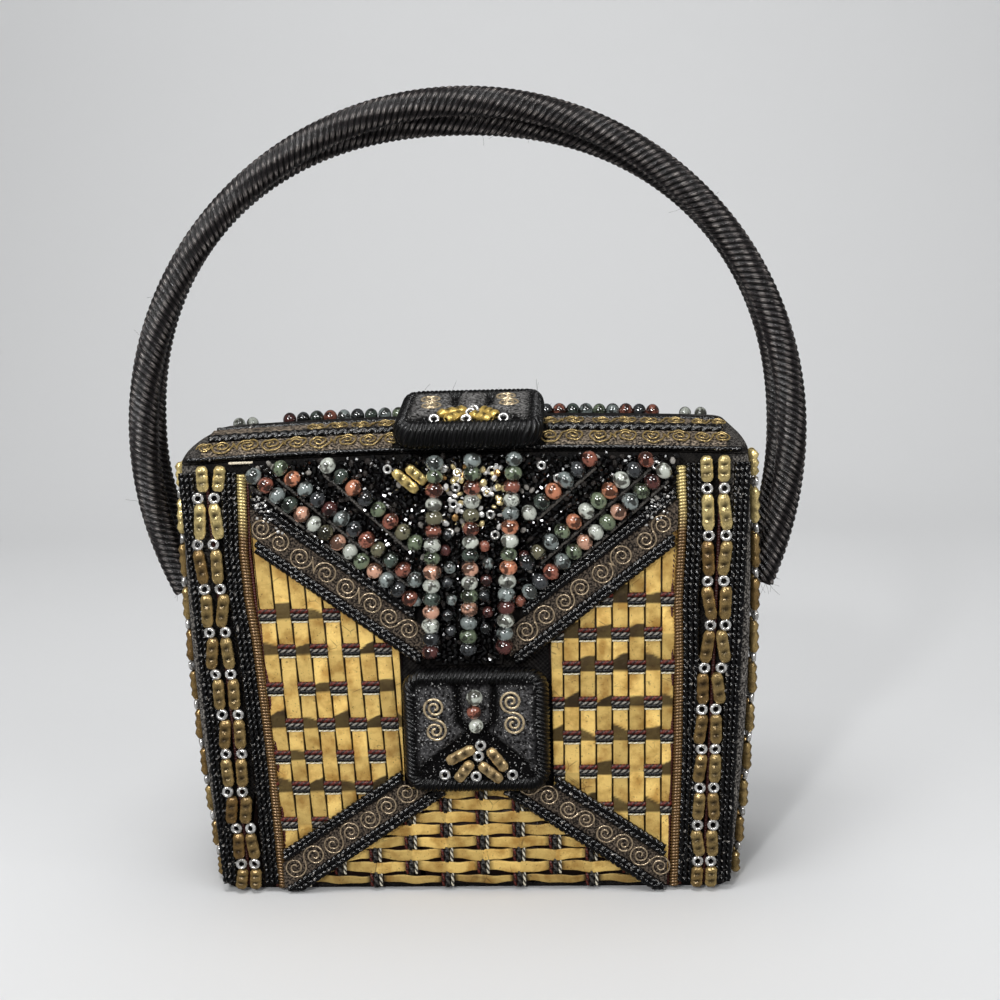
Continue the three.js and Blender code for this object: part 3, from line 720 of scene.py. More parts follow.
# Distance of the two cords from the ribbon's middle line, and the length in which each turns once
GIMP_PAIR = ((3.85, 3.2), (5.2, -3.2))
cord = Finish("black_cord", {"Specular IOR Level": 0.55})
fibre = cord.noise(2600.0)
cord.shade({
    # Pale flecks in the colour: painted glints, on every piece made of this black cord.
    "Base Color": cord.mix(cord.noise(1000.0).band(0.64, 0.69) * 0.6, ink("#030203"), ink("#a9a39c")),
    "Roughness": 0.12 + fibre * 0.2,
    "Normal": cord.bump(fibre, 0.0002, 0.7),
})
for name, ((x0, z0), (x1, z1)) in RIBBONS.items():
    slope = (z1 - z0) / (x1 - x0)
    for edge, hand in (("over", 1), ("under", -1)):
        low, high = (np.array(corner) * 1000 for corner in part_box(f"cord_{name}_{edge}"))
        x = np.linspace(low[0] + GIMP_ENDS_IN, high[0] - GIMP_ENDS_IN, 230)
        both = []
        for away, turn_in in GIMP_PAIR:
            z = z0 + slope * (x - x0) + hand * away * np.sqrt(1 + slope ** 2)
            path = on_front(x, np.clip(z, low[2] + 0.7, high[2] - 0.4), GIMP_OFF)
            both.append(laid(path, TOWARDS, turn_in=turn_in, **GIMP))
        set_down(f"edge_cord_{name}_{edge}", joined(both), cord, "box", [f"cord_{name}_{edge}"])


# Bullion: a flattened coil of fine gilt wire up each side of the field, worn to copper lower down, with a
# dark red thread along both of its edges.
SIDES = {"left": -1, "right": 1}
BOWED = {
    # height, and how far the bullion and the braid beside it stand off their line there
    "left": ((2, 0.8), (36, 0.8), (69, -0.2), (80, -1.1), (92, -1.3), (113, 0)),
    "right": ((2, 0.5), (38, 0.5), (62, 0), (78, -0.7), (92, -0.4), (100, -0.3), (113, -1.1)),
}
COIL = {
    "foot": 1.3, "top": 112.8, "points": 1000, "x_at_foot": 52.1, "off": 1.15, "half_wide": 1.3,
    "half_tall": 0.95, "ridge": 0.5, "step": 0.82, "columns": 10, "worn_to": 96, "fades_in": 9,
}
EDGING = {"radius": 0.42, "strands": 2, "turn_in": 2.6, "hollow": 0.3, "fine": 3}
EDGING_OFF, EDGING_ASIDE = 0.75, (-1.6, 1.55)


def sway(table, z):
    """How far a line stands off at a height, even between the heights of a table."""
    return np.interp(z, *np.transpose(table))


gilt = Finish("gilt_coil", {"Metallic": 0.45, "Roughness": 0.3})
gilt.shade({"Base Color": gilt.mix(gilt.noise(1200.0).band(0.4, 0.8) * 0.4, gilt.tint(), ink("#4a3320"))})
for word, side in SIDES.items():
    z = np.linspace(COIL["foot"], COIL["top"], COIL["points"])
    middle = side * leaning(COIL["x_at_foot"], z) + sway(BOWED[word], z)
    path = on_front(middle, z, COIL["off"])
    share = np.arange(COIL["columns"]) / COIL["columns"]
    turn = way_along(path)[:, None] / COIL["step"] + side * share
    fall = COIL["ridge"] * (1 - ridge(turn))
    across = (COIL["half_wide"] - fall) * np.cos(2 * np.pi * share)
    skin = carried(path, TOWARDS, across, (COIL["half_tall"] - fall) * np.sin(2 * np.pi * share))
    bright = np.clip((skin[0][:, 2:] - COIL["worn_to"]) / COIL["fades_in"], 0, 1)
    tint = rgb("#6f5431", "#dcc684", bright)
    turn = np.concatenate([turn[:1], turn, turn[-1:]]).reshape(-1, 1) % 1
    # Painted shade: each turn of the coil darkens towards the gaps between turns.
    tint = tint * (1 - 0.92 * np.abs(2 * turn - 1) ** 4)
    set_down(f"bullion_coil_{word}", skin, gilt, "box", [f"bullion_{word}"], tint)
    z, middle = z[::4], middle[::4]
    lines = [laid(on_front(middle + away, z, EDGING_OFF), TOWARDS, **EDGING) for away in EDGING_ASIDE]
    set_down(f"bullion_edging_{word}", joined(lines), thread, "box", (), "#48190f")


# Braids: flat black braid up both sides of the tube strings and along the lid, of fine cords laid side by
# side. A dark red thread shows between the tube strings, a cord edges the lid, and a pale thread shows at
# its seam.
BRAIDS = {
    # x at the foot, spread, places of the cords across it
    "inner": (55.0, 0.042, (-1.35, 0, 1.35)),
    "outer": (65.3, 0.048, (-1.25, 0.05, 1.3)),
}
# From x to x, and y, lift, radius of the cords and the length in which they turn once
LID_BRAIDS = {"left": (-18.0, -66.4), "right": (22.0, 66.4)}
LID_BRAID_CORDS = ((-19.3, 1.0, 1.5, 5.2), (-10.1, 0.8, 0.8, 3.0))
BRAID_CORD = {"radius": 0.88, "strands": 2, "hollow": 0.5, "fine": 5}
RED_THREAD = {"radius": 0.55, "strands": 2, "turn_in": 3.0, "hollow": 0.3, "fine": 4}
PALE_THREAD = {"radius": 0.36, "strands": 2, "turn_in": 1.6, "hollow": 0.4, "fine": 4}
RIM_CORD = {"radius": 0.7, "strands": 2, "turn_in": 2.6, "hollow": 0.45, "fine": 4}
for word, side in SIDES.items():
    for row_name, (at_foot, spread, places) in BRAIDS.items():
        z = np.linspace(2.5, 113.4, 360)
        bow = sway(BOWED[word], z) * (row_name == "inner")
        row_of = []
        for shift in places:
            off = 1.2 + 0.08 * np.sin(z * 0.7 + shift)
            path = on_front(side * (at_foot + spread * z + shift) + bow, z, off)
            row_of.append(laid(path, TOWARDS, turn_in=3.3 * side, **BRAID_CORD))
        set_down(f"braid_cords_{word}_{row_name}", joined(row_of), cord, "box", [f"braid_{word}_{row_name}"])
    z = np.linspace(2.0, 113.4, 200)
    gap = laid(on_front(side * (60.35 + 0.047 * z), z, 0.8), TOWARDS, **RED_THREAD)
    set_down(f"red_thread_{word}", gap, thread, "box", (), "#3a120d")
for word, (near, far) in LID_BRAIDS.items():
    x = np.linspace(near, far, 230)
    row_of = []
    for y, lift, radius, turn_in in LID_BRAID_CORDS:
        path = on_lid(x, y, lift)
        out = on_lid(x, y, lift + 1) - path
        row_of.append(laid(path, out, radius, strands=2, turn_in=turn_in, hollow=0.45, fine=5))
    set_down(f"braid_cords_lid_{word}", joined(row_of), cord, "lid", [f"lid_braid_{word}"])
x = np.linspace(-59.5, -53.3, 40)
pale = laid(on_front(x, np.linspace(115.7, 115.8, 40), 1.1), TOWARDS, **PALE_THREAD)
set_down("pale_seam_thread", pale, thread, "lid", (), "#d9cdb6")
# The black cord along the rim is piping, and also stands for the shade in the gap under the lid's edge: a
# dark line of painted shade.
x = np.linspace(-70.5, 70.5, 330)
rim = laid(on_front(x, 116.35 + crown(x), 0.4), TOWARDS, **RIM_CORD)
set_down("lid_rim_cord", rim, cord, "lid")


# Tube strings: ribbed brass tubes threaded in turn with ring beads of white metal, sewn in pairs up the
# edges of the front and the sides. The tubes sit a little askew, and those by the rim are brighter.
def turned(radius, height, sides):
    """A profile turned about the third axis: corner j of row i is radius[i] round the circle at
    height[i]."""
    angle = 2 * np.pi * np.arange(sides) / sides
    radius, height = np.asarray(radius)[:, None], np.asarray(height)[:, None]
    grid = np.stack(np.broadcast_arrays(radius * np.cos(angle), radius * np.sin(angle), height), -1)
    return grid.reshape(-1, 3), quads(len(radius), sides), np.zeros(((len(radius) - 1) * sides, 4, 2))


def facing(axis, hint):
    """Turns that send the third axis along axis: the first is hint times axis, the second squares them."""
    axis = axis / np.linalg.norm(axis, axis=-1, keepdims=True)
    first = np.cross(np.broadcast_to(hint, axis.shape), axis)
    first /= np.linalg.norm(first, axis=-1, keepdims=True)
    return np.stack([first, np.cross(axis, first), axis], -1)


def copies(shape, places, turns, sizes):
    """One small shape set down many times: corner c of copy i is places[i] plus turns[i] times its sized
    corner."""
    corners, faces, chart = shape
    sizes = np.broadcast_to(sizes, (len(places), 3))
    grid = places[:, None] + np.einsum("nij,ncj->nci", turns, corners[None] * sizes[:, None])
    every = faces + len(corners) * np.arange(len(places))[:, None, None]
    return grid.reshape(-1, 3), every.reshape(-1, 4), np.tile(chart, (len(places), 1, 1))


# One tube has three lobes along it, with creases between them that are deepest on its front, and drawn-in
# ends.
share = np.array([0, 0.11, 0.153, 0.18, 0.22, 0.34, 0.46, 0.5])
share = np.concatenate([-share[:0:-1], share])[:, None]
around = 2 * np.pi * np.arange(12) / 12
front = np.clip(3 * (np.sin(around) - 0.6), 0, 1)
lobe = np.abs(np.cos(3 * np.pi * (share + 0.02 * np.cos(around)))) ** 1.1
ends = np.maximum(0.5, np.sqrt(1 - np.minimum(1, np.abs(2 * share) ** 10)))
caps = np.full((1, 12), 0.35)
reach = np.concatenate([caps, ends * (0.98 - (0.34 * front + 0.07) * (1 - lobe)), caps])
height = np.concatenate([[-0.47], share[:, 0], [0.47]])[:, None]
grid = np.stack(np.broadcast_arrays(reach * np.cos(around), reach * np.sin(around) * 0.86, height), -1)
TUBE = grid.reshape(-1, 3), quads(17, 12), np.zeros((16 * 12, 4, 2))
# Painted shade: the tint darkens in the creases, most on the front, and the front is a little darker than the
# sides.
crease = (1 - np.clip(lobe * 1.4 - 0.35, 0, 1)) * (np.abs(share) < 0.45)
tone = np.clip(1.3 - 0.35 * front - (0.15 + 0.72 * front) * crease, 0.1, 2)
TUBE_SHADE = np.concatenate([caps, tone, caps]).reshape(-1, 1)
bend = 2 * np.pi * np.arange(9) / 8
RING = turned(0.96 + 0.37 * np.cos(bend), 0.5 * np.sin(bend), 12)

# On a string the gaps between rings widen upwards, and its first and last tubes have lengths of their own.
k = np.arange(10)
RING_Z = 8.2 + 9.8 * k + 0.13 * k ** 2
ends = np.concatenate([[0.9], RING_Z, [117.6]])
TUBE_Z = (ends[1:] + ends[:-1]) / 2
TUBE_Z[[0, -1]] = [3.9, 111.9]
TUBE_LONG = np.diff(ends) - 2.7
TUBE_LONG[[0, -1]] = [5.6, 6.6]
TUBE_WIDE, RING_SIZE, ASKEW = 1.62, 1.16, np.radians(10)
tube_metal = Finish("tube_brass", {"Metallic": 0.5})
stain = tube_metal.noise(700.0, 3.0)
tube_metal.shade({
    "Base Color": tube_metal.mix(stain.band(0.48, 0.7) * 0.6, tube_metal.tint(), ink("#33230f")),
    "Roughness": 0.14 + stain * 0.25,
    "Normal": tube_metal.bump(stain, 0.0006, 0.6),
})
white_metal = Finish("white_metal", {"Metallic": 0.65, "Roughness": 0.1})
grime = white_metal.noise(1100.0).band(0.4, 0.65)
white_metal.shade({"Base Color": white_metal.mix(grime, ink("#fbfaf8"), ink("#aeaba6"))})


def tubes(name, places, turns, wide, long, body, tones, nodes=()):
    """Ribbed tubes of one width at places, each of its own length and colour, with painted shade in its
    creases.
    """
    sizes = np.stack([np.full(len(long), wide), np.full(len(long), wide), long], -1)
    tint = np.repeat(tones, len(TUBE[0]), 0) * np.tile(TUBE_SHADE, (len(long), 1))
    set_down(name, copies(TUBE, places, turns, sizes), tube_metal, body, nodes, tint)


def tubes_between(name, first, second, out, wide, body, code):
    """Ribbed tubes of one colour, each from a first to a second point, with its front out."""
    turns, long = facing(second - first, out), np.linalg.norm(second - first, axis=-1)
    tubes(name, (first + second) / 2, turns, wide, long, body, np.tile(rgb(code), (len(long), 1)))


def threaded(name, spot, out, node):
    """A string of tubes and rings up a face: spot gives a point from its height, and out is the way the
    face looks."""
    out = np.array(out, float)
    lean = ASKEW * (2 * rng.random(11) - 1)
    side = np.cross(out, [0, 0, 1])
    axis = np.cos(lean)[:, None] * np.array([0, 0, 1]) + np.sin(lean)[:, None] * side
    bright = (np.arange(11) > 8) * 0.7 + 0.3 * rng.random(11)
    tones = rgb("#80643b", "#e2cc8c", bright[:, None])
    tubes(f"tubes_{name}", spot(TUBE_Z), facing(axis, out), TUBE_WIDE, TUBE_LONG, "box", tones, [node])
    look = out + 0.5 * (rng.random((10, 3)) - 0.5)
    wobble = side * (0.5 * (rng.random((10, 1)) - 0.5))
    rings_at = copies(RING, spot(RING_Z) + wobble + 0.15 * out, facing(look, [0.1, 0.2, 1]), RING_SIZE)
    set_down(f"rings_{name}", rings_at, white_metal, "box")


# x at the foot and spread of the strings on the front, and depth of those on the sides
FRONT_STRINGS = ((58.5, 0.044), (62.15, 0.05))
SIDE_STRINGS = (-19.2, -14.6, 14.6, 19.2)
STRING_OFF = 1.9
WANDER = {
    # height, and how far the two front strings stand off their line there
    "left": (
        (3, 0.2), (18, 0.3), (27, -1.2), (38, -0.2), (49, 0), (60, -1), (83, -1.3), (95, -1.7), (103, 0),
        (108, -0.6), (112, 1.4),
    ),
    "right": (
        (3, 0), (17, -0.2), (28, -0.3), (38, -0.4), (49, -0.75), (60, -0.25), (72, 0.75), (84, -0.3),
        (96, -0.6), (112, -1.7),
    ),
}
for word, side in SIDES.items():
    for index, (at_foot, spread) in enumerate(FRONT_STRINGS, 1):
        spot = lambda z: on_front(side * (at_foot + spread * z) + sway(WANDER[word], z), z, STRING_OFF)
        threaded(f"{word}_{index}", spot, (0, -1, 0), f"tube_string_{word}_{index}")
    for index, y in enumerate(SIDE_STRINGS, 1):
        spot = lambda z: np.stack([side * (half_width(z) + STRING_OFF), np.full(len(z), y), z], -1)
        threaded(f"side_{word}_{index}", spot, (side, 0, 0), f"side_string_{word}_{index}")


# Seed beads: the top field is close set with small black glass seeds on black cloth, with gilt and silvered
# seeds among the hanging strings, and two tubes and a few rings sewn on near the rim.
dress("bead_ground", cloth)
STRINGS = {
    # from x, z to x, z, distance off the front, order of the stones from the top
    "bead_string_1": ((-6.4, 115.2), (-9.3, 66.3), 4.7, "cgrwyrwgpwdpwkm"),
    "bead_string_2": ((3.0, 115.6), (0.5, 66.7), 3.6, "cgrwyrwdpwgpcgk"),
    "bead_string_3": ((13.4, 115.8), (9.8, 67.4), 4.7, "cgrwcowgowcmwcm"),
    "fan_string_left_1": ((-52.9, 112.6), (-14, 80.2), 3.5, "crcdpwypwgpckr"),
    "fan_string_left_2": ((-45.8, 114.4), (-12.6, 85.1), 3.5, "gockmckrydrc"),
    "fan_string_left_3": ((-33.6, 115), (-12.2, 94.6), 3.5, "wdokgryg"),
    "fan_string_right_1": ((50.9, 111.8), (16.5, 81.6), 3.5, "wmgcpgwpgcrkc"),
    "fan_string_right_2": ((46.5, 114.8), (16.1, 89.2), 3.5, "rkwogwogcyk"),
    "fan_string_right_3": ((32.5, 115.3), (17, 102), 3.5, "rkcodw"),
}
# The places of the hanging strings across at a height of 105, and how far they shift for each millimetre up
HANGING = ((-7, 0.059), (2.5, 0.05), (12.6, 0.074))
RIM_TUBES = np.array([((-17.1, 113.2), (-11.2, 107.8)), ((-13.6, 114.2), (-8.9, 109.9))])
RIM_RINGS = np.array([
    (-18.6, 113.6), (20.3, 113.8), (49, 113.2), (-0.9, 112.4), (7.7, 112.8), (-2.2, 104.4), (7.2, 101.5),
    (-3.4, 97), (6.5, 107.2), (8.2, 96.2), (-1.4, 108.6), (24.4, 110.4),
])
GILT_CHIPS, SILVERED_LEFT, SILVERED_RIGHT = 54, 26, 20
# The least of each half size of a black seed, and the most that chance adds
SEED_SIZES = ((0.5, 0.35), (0.5, 0.35), (0.75, 0.5))
swing = np.linspace(-np.pi / 2, np.pi / 2, 5)
SEED = turned(np.cos(swing), np.sin(swing), 7)
seed_glass = Finish("seed_glass", {"Roughness": 0.12, "Specular IOR Level": 0.95})
chip_metal = Finish("chip_metal", {"Metallic": 0.6, "Roughness": 0.24})
for finish in (seed_glass, chip_metal):
    finish.shade({"Base Color": finish.tint()})


def seed_rows(angle):
    """Places in rows that run at an angle: an even grid, turned, with every other row set over by half a
    step."""
    i, j = np.meshgrid(np.arange(-70, 71), np.arange(-70, 71), indexing="ij")
    a = 1.42 * (i + 0.5 * (j % 2)) + 0.5 * (rng.random(i.shape) - 0.5)
    b = 1.5 * j + 0.4 * (rng.random(i.shape) - 0.5)
    x, z = a * np.cos(angle) - b * np.sin(angle), 90 + a * np.sin(angle) + b * np.cos(angle)
    return x.ravel(), z.ravel()


def off_segment(x, z, start, stop):
    """Distance of points from a segment: to the point on it at the nearest share along, kept within its
    ends."""
    (x0, z0), (x1, z1) = start, stop
    run, climb = x1 - x0, z1 - z0
    share = np.clip(((x - x0) * run + (z - z0) * climb) / (run ** 2 + climb ** 2), 0, 1)
    return np.hypot(x - x0 - share * run, z - z0 - share * climb)


def any_way(count, spread=1.0):
    """Turns that send the third axis each to a way drawn at random."""
    return facing(rng.normal(size=(count, 3)) * spread, [0.3, 0.2, 0.9])


def one_of(draw, rows):
    """Colours by a draw from 0 to 1: each row of the table gives the draw below which its code is taken."""
    return np.select([draw < below for below, _ in rows], [rgb(code) for _, code in rows])


rows = [seed_rows(angle) for angle in np.radians([140, 90, 41])]
kept = (rows[0][0] < -8.5, np.abs(rows[1][0] - 2) < 10.5, rows[2][0] > 12.5)
x, z = (np.concatenate([row[axis][keep] for row, keep in zip(rows, kept)]) for axis in (0, 1))
inside = (z < 114.7 + crown(x)) & (z > 62.8) & (np.abs(x) < leaning(50.0, z))
inside &= (z > ribbon_height("upper_left", x) + 7.6) | (x > -8.4)
inside &= (z > ribbon_height("upper_right", x) + 7.6) | (x < 8.8)
for start, stop, _, _ in STRINGS.values():
    inside &= off_segment(x, z, start, stop) > 1.0
x, z = x[inside], z[inside]
spots = on_front(x, z, 1.7 + 0.7 * rng.random(len(x)))
sizes = np.stack([low + more * rng.random(len(x)) for low, more in SEED_SIZES], -1)
# The grey seeds among the black ones stand for glints: painted highlights.
tint = one_of(rng.random((len(x), 1)), [(0.86, "#030203"), (0.97, "#2a2624"), (2, "#8d8983")])
seeds = copies(SEED, spots, any_way(len(x), [1, 0.6, 1]), sizes)
set_down("black_seeds", seeds, seed_glass, "box", (), np.repeat(tint, len(SEED[0]), 0), smooth=False)

x = -5 + 17 * rng.random(GILT_CHIPS * 4)
z = 98 + 16 * rng.random(GILT_CHIPS * 4)
clear = np.min([np.abs(x - (at + shift * (z - 105))) for at, shift in HANGING], 0) > 1.6
x, z = x[clear][:GILT_CHIPS], z[clear][:GILT_CHIPS]
sizes = 0.5 + 0.6 * rng.random((len(x), 3))
chips = copies(SEED, on_front(x, z, 2.4 + 1.2 * rng.random(len(x))), any_way(len(x)), sizes)
tint = one_of(rng.random((len(x), 1)), [(0.55, "#f0dca4"), (0.75, "#a5804f"), (2, "#f2f1ee")])
set_down("gilt_chips", chips, chip_metal, "box", (), np.repeat(tint, len(SEED[0]), 0), smooth=False)

x = np.concatenate([-53 + 7 * rng.random(SILVERED_LEFT), 46 + 6 * rng.random(SILVERED_RIGHT)])
line = np.where(x < 0, ribbon_height("upper_left", x), ribbon_height("upper_right", x))
spots = on_front(x, line + 2.5 + 7 * rng.random(len(x)), 3.3)
silver = copies(SEED, spots, any_way(len(x)), 0.2 + 0.3 * rng.random((len(x), 3)))
set_down("silvered_seeds", silver, chip_metal, "box", (), "#dcdad6", smooth=False)
first, second = (on_front(*RIM_TUBES[:, end].T, 3.2) for end in (0, 1))
tubes_between("rim_tubes", first, second, TOWARDS, 1.4, "box", "#e0c67e")
look = TOWARDS + 0.7 * (rng.random((len(RIM_RINGS), 3)) - 0.5)
rim_rings = copies(RING, on_front(*RIM_RINGS.T, 2.9), facing(look, [0.1, 0.2, 1]), 0.95)
set_down("rim_rings", rim_rings, white_metal, "box")


# Bead strings: round stone beads of mixed colours on thread, three hanging down the middle and three
# fanning out to the rim at each side. The same stones lie in a row behind the crest of the lid.
STONES = {
    "w": "#b4b8ae", "c": "#7b8381", "g": "#65705a", "d": "#414a43", "k": "#37393b", "o": "#bd7c5e",
    "p": "#bf917a", "r": "#885344", "m": "#502e2b", "y": "#625f4b",
}
LOOSE = [
    # x, z, letter of the small beads between the hanging strings
    (-4.7, 92.5, "m"), (-3.6, 88.0, "c"), (-4.4, 84.0, "k"), (-3.4, 79.6, "c"), (-4.6, 75.4, "k"),
    (5.4, 93.4, "r"), (6.2, 89.0, "c"), (5.6, 84.6, "m"), (4.9, 80.4, "k"), (5.8, 76.2, "m"),
    (-3.9, 71.4, "k"), (5.2, 72.0, "k"), (-4.0, 96.4, "k"), (15.4, 90.6, "m"), (-12.6, 79.4, "c"),
    (14.2, 79.0, "r"),
]
LID_ROWS = {
    # x of the first and the last bead, order of the stones
    "left": (-1.9, -53.5, "kcdrkgcdkcrdkm"),
    "right": (1.9, 51.3, "cdkcrkrdcgcrkr"),
}
LID_ENDS = (-68.2, -64.3, 60.5, 64.9)
swing = np.linspace(-np.pi / 2, np.pi / 2, 10)
BALL = turned(np.cos(swing), np.sin(swing), 14)
stone = Finish("stone_bead", {"Roughness": 0.1, "Coat Weight": 1.0, "Coat Roughness": 0.03})
# The mottling and the near-black blots are partly the stones' own veins and partly painted reflections of
# dark surroundings in the glass.
vein, blot = stone.noise(420.0, 3.0), stone.noise(900.0)
darker = stone.mix(1.0, stone.tint(), ink("#4d4843"), "MULTIPLY")
mottled = stone.mix(vein.band(0.49, 0.56) * 0.9, stone.tint(), darker)
stone.shade({"Base Color": stone.mix(blot.band(0.6, 0.66) * 0.7, mottled, ink("#0f0e0d"))})


def stones(name, places, axis, order, body, nodes=(), across=2.3, along=2.0):
    """Round beads at places on a thread, each a little bigger or smaller, in the order of colours given."""
    size = (0.95 + 0.09 * rng.random((len(places), 1))) * np.array([across, across, along])
    tone = np.array([rgb(STONES[letter]) for letter in order]) * (0.85 + 0.3 * rng.random((len(order), 1)))
    skin = copies(BALL, places, facing(np.broadcast_to(axis, places.shape), [0.2, 1, 0.3]), size)
    set_down(name, skin, stone, body, nodes, np.repeat(tone, len(BALL[0]), 0))


for name, ((x0, z0), (x1, z1), off, order) in STRINGS.items():
    share = np.linspace(0, 1, len(order))
    places = on_front(x0 + (x1 - x0) * share, z0 + (z1 - z0) * share, off)
    places = places + 0.2 * (rng.random((len(order), 3)) - 0.5)
    stones(f"stones_{name}", places, [x1 - x0, 0, z1 - z0], order, "box", [name])
x, z, letters = zip(*LOOSE)
stones("stones_loose", on_front(x, z, 3.0), [1.0, 0, 0.4], letters, "box", (), 1.6, 1.5)
for word, (near, far, order) in LID_ROWS.items():
    places = on_lid(np.linspace(near, far, len(order)), 22, 2.2)
    stones(f"stones_lid_{word}", places, [1.0, 0, 0], order, "lid", [f"lid_bead_row_{word}"])
stones("stones_lid_ends", on_lid(LID_ENDS, 21.5, 1.8), [1.0, 0, 0], "wwww", "lid", (), 1.9, 1.75)


# Fan stays: a thin grey cord laid beside each fanning string, on its lower side and nearer to the cloth
# than the beads are.
STAY = {"radius": 0.5, "strands": 2, "turn_in": 2.2, "hollow": 0.35, "fine": 4}
STAY_OFF, STAY_ASIDE = 2.3, 2.75
for name, ((x0, z0), (x1, z1), _, _) in STRINGS.items():
    if name.startswith("fan"):
        run = np.linspace(0.02, 1, 110)
        aside = STAY_ASIDE / np.hypot(x1 - x0, z1 - z0)
        x = x0 + (x1 - x0) * run + aside * (z1 - z0) * np.sign(x1 - x0)
        z = z0 + (z1 - z0) * run - aside * abs(x1 - x0)
        skin = laid(on_front(x, z, STAY_OFF), TOWARDS, **STAY)
        set_down(f"stay_{name}", skin, thread, "box", (), "#4f4b46")


# Plaques: the front pad and the lid's tab, each a felt panel quilted over wadding inside a thick ring wound
# with black cord. Wire scrolls, ribbed tubes, rings of white metal and, on the front, stones are sewn on
# the panel.
PAD = {"wide": 38.0, "tall": 33.0, "corner": 3.2, "bar": 2.35, "strands": 5, "winding": 1.15, "points": 620}
PAD_HAIRS = 30
CHANNELS = [
    ((-4.6, 13), (-4.3, 3)), ((-4.3, 3), (-1.2, 0.2)), ((4.9, 13), (4.7, 3)), ((4.7, 3), (1.8, 0.2)),
    ((-1.2, 0.2), (-13.8, -9.6)), ((1.8, 0.2), (12.6, -8.8)),
]
PAD_SCROLLS = [((-10.5, 6.8), (-10.4, 0.7)), ((9.3, 8.3), (9.7, 2.4))]
PAD_STONES = [((0, 9.9), 2.1, "w"), ((-0.3, 6.1), 1.8, "r"), ((0.2, 2.4), 1.85, "w")]
PAD_RINGS = np.array([(1.1, -3.3), (0.5, -6.2), (-8.4, -11.1), (-0.3, -11.6), (9.1, -11.3)])
PAD_TUBES = np.array([
    ((-7.7, -7.6), (-0.6, -3.9)), ((-5.3, -12.6), (-1.3, -7.6)), ((3.2, -4.2), (7.5, -9.9)),
    ((0.7, -8.2), (6.3, -12.8)),
])


def laid_finish(name, specular, along, across, strands, low, high):
    """A finish for a laid cord, its fibres and its grooves: fibres is a noise drawn out along the strands,
    and grooves goes from 0 to 1 between two shares of the way from a strand's middle to its edge."""
    finish = Finish(name, {"Specular IOR Level": specular})
    chart = finish.place("UV")
    drawn = finish.node("ShaderNodeCombineXYZ", {}, [chart.part(0) * along, chart.part(1) * across])
    fibres = finish.noise(1.0, 3.0, drawn)
    grooves = ((chart.part(1) * strands).math("FRACT") * 2.0 - 1.0).math("ABSOLUTE").band(low, high)
    finish.shade({"Roughness": 0.14 + fibres * 0.22 + grooves * 0.4})
    return finish, fibres, grooves


pad_felt = Finish("pad_felt", {"Roughness": 0.95, "Specular IOR Level": 0.1})
glitter = pad_felt.noise(2100.0, 1.0).band(0.66, 0.7) * 0.7
nap = pad_felt.noise(1300.0, 5.0).band(0.36, 0.68)
pad_felt.shade({
    "Base Color": pad_felt.mix(glitter, pad_felt.mix(nap, ink("#050405"), pad_felt.tint()), ink("#b9b8b6")),
    "Normal": pad_felt.bump(nap, 0.0006, 0.8),
})
winding, fibres, grooves = laid_finish("wound_cord", 0.4, 0.6, 30.0, 5.0, 0.55, 0.95)
# The strands are lighter along their fibres and darkest in the grooves between them: painted shade in the
# grooves.
winding.shade({
    "Base Color": winding.mix(fibres.band(0.5, 0.75) * (1 - grooves), ink("#010101"), ink("#1b181c")),
    "Normal": winding.bump(fibres, 0.0003, 0.8),
})


def hairs(name, roots, outs, long, curl, finish, body):
    """Loose hairs as thin three-sided wires: each leaves its root along its own way out, and its curl is
    added with the square of the share along it."""
    share = np.linspace(0, 1, 8)[:, None]
    path = roots[:, None] + outs[:, None] * long[:, None, None] * share + curl[:, None] * share ** 2
    set_down(name, wired(path, np.array([0.3, 0.2, 0.9]), 0.07, 3), finish, body)


def panel_height(a, b, thick):
    """Height of the quilted panel and its share of felt: it is pressed down along the sewn channels,
    crowned between them, and lower below the two slanting ones, where the ground is black."""
    gap = np.min([off_segment(a, b, *channel) for channel in CHANNELS], 0)
    below = np.minimum(0.2 + np.minimum(0, a + 1.2) * 0.78, 0.2 - np.maximum(0, a - 1.8) * 0.83) - b
    upper = np.clip(0.5 - below, 0, 1)
    pressed = 1 - np.exp(-(gap / 1.35) ** 2)
    return thick - 1.8 + pressed * (0.6 + 0.9 * upper), np.clip(gap - 0.75, 0, 1) * upper


def round_path(half_a, half_b, r):
    """A path round a rectangle with round corners, from the foot of its right side: up each side in turn
    for its straight length, and then round its corner."""
    square = np.linspace(0, 4, PAD["points"])
    side = np.floor(square % 4).astype(int)
    straight = np.where(side % 2 == 0, 2 * half_b - 2 * r, 2 * half_a - 2 * r)
    gone = square % 1 * (straight + np.pi / 2 * r)
    angle = np.pi / 2 * side + np.clip((gone - straight) / r, 0, np.pi / 2)
    slid = np.minimum(gone, straight)
    corner_a, corner_b = np.array([(1, -1), (1, 1), (-1, 1), (-1, -1)])[side].T
    way_a, way_b = np.array([(0, 1), (-1, 0), (0, -1), (1, 0)])[side].T
    a = corner_a * (half_a - r) + way_a * slid + r * np.cos(angle)
    return a, corner_b * (half_b - r) + way_b * slid + r * np.sin(angle)


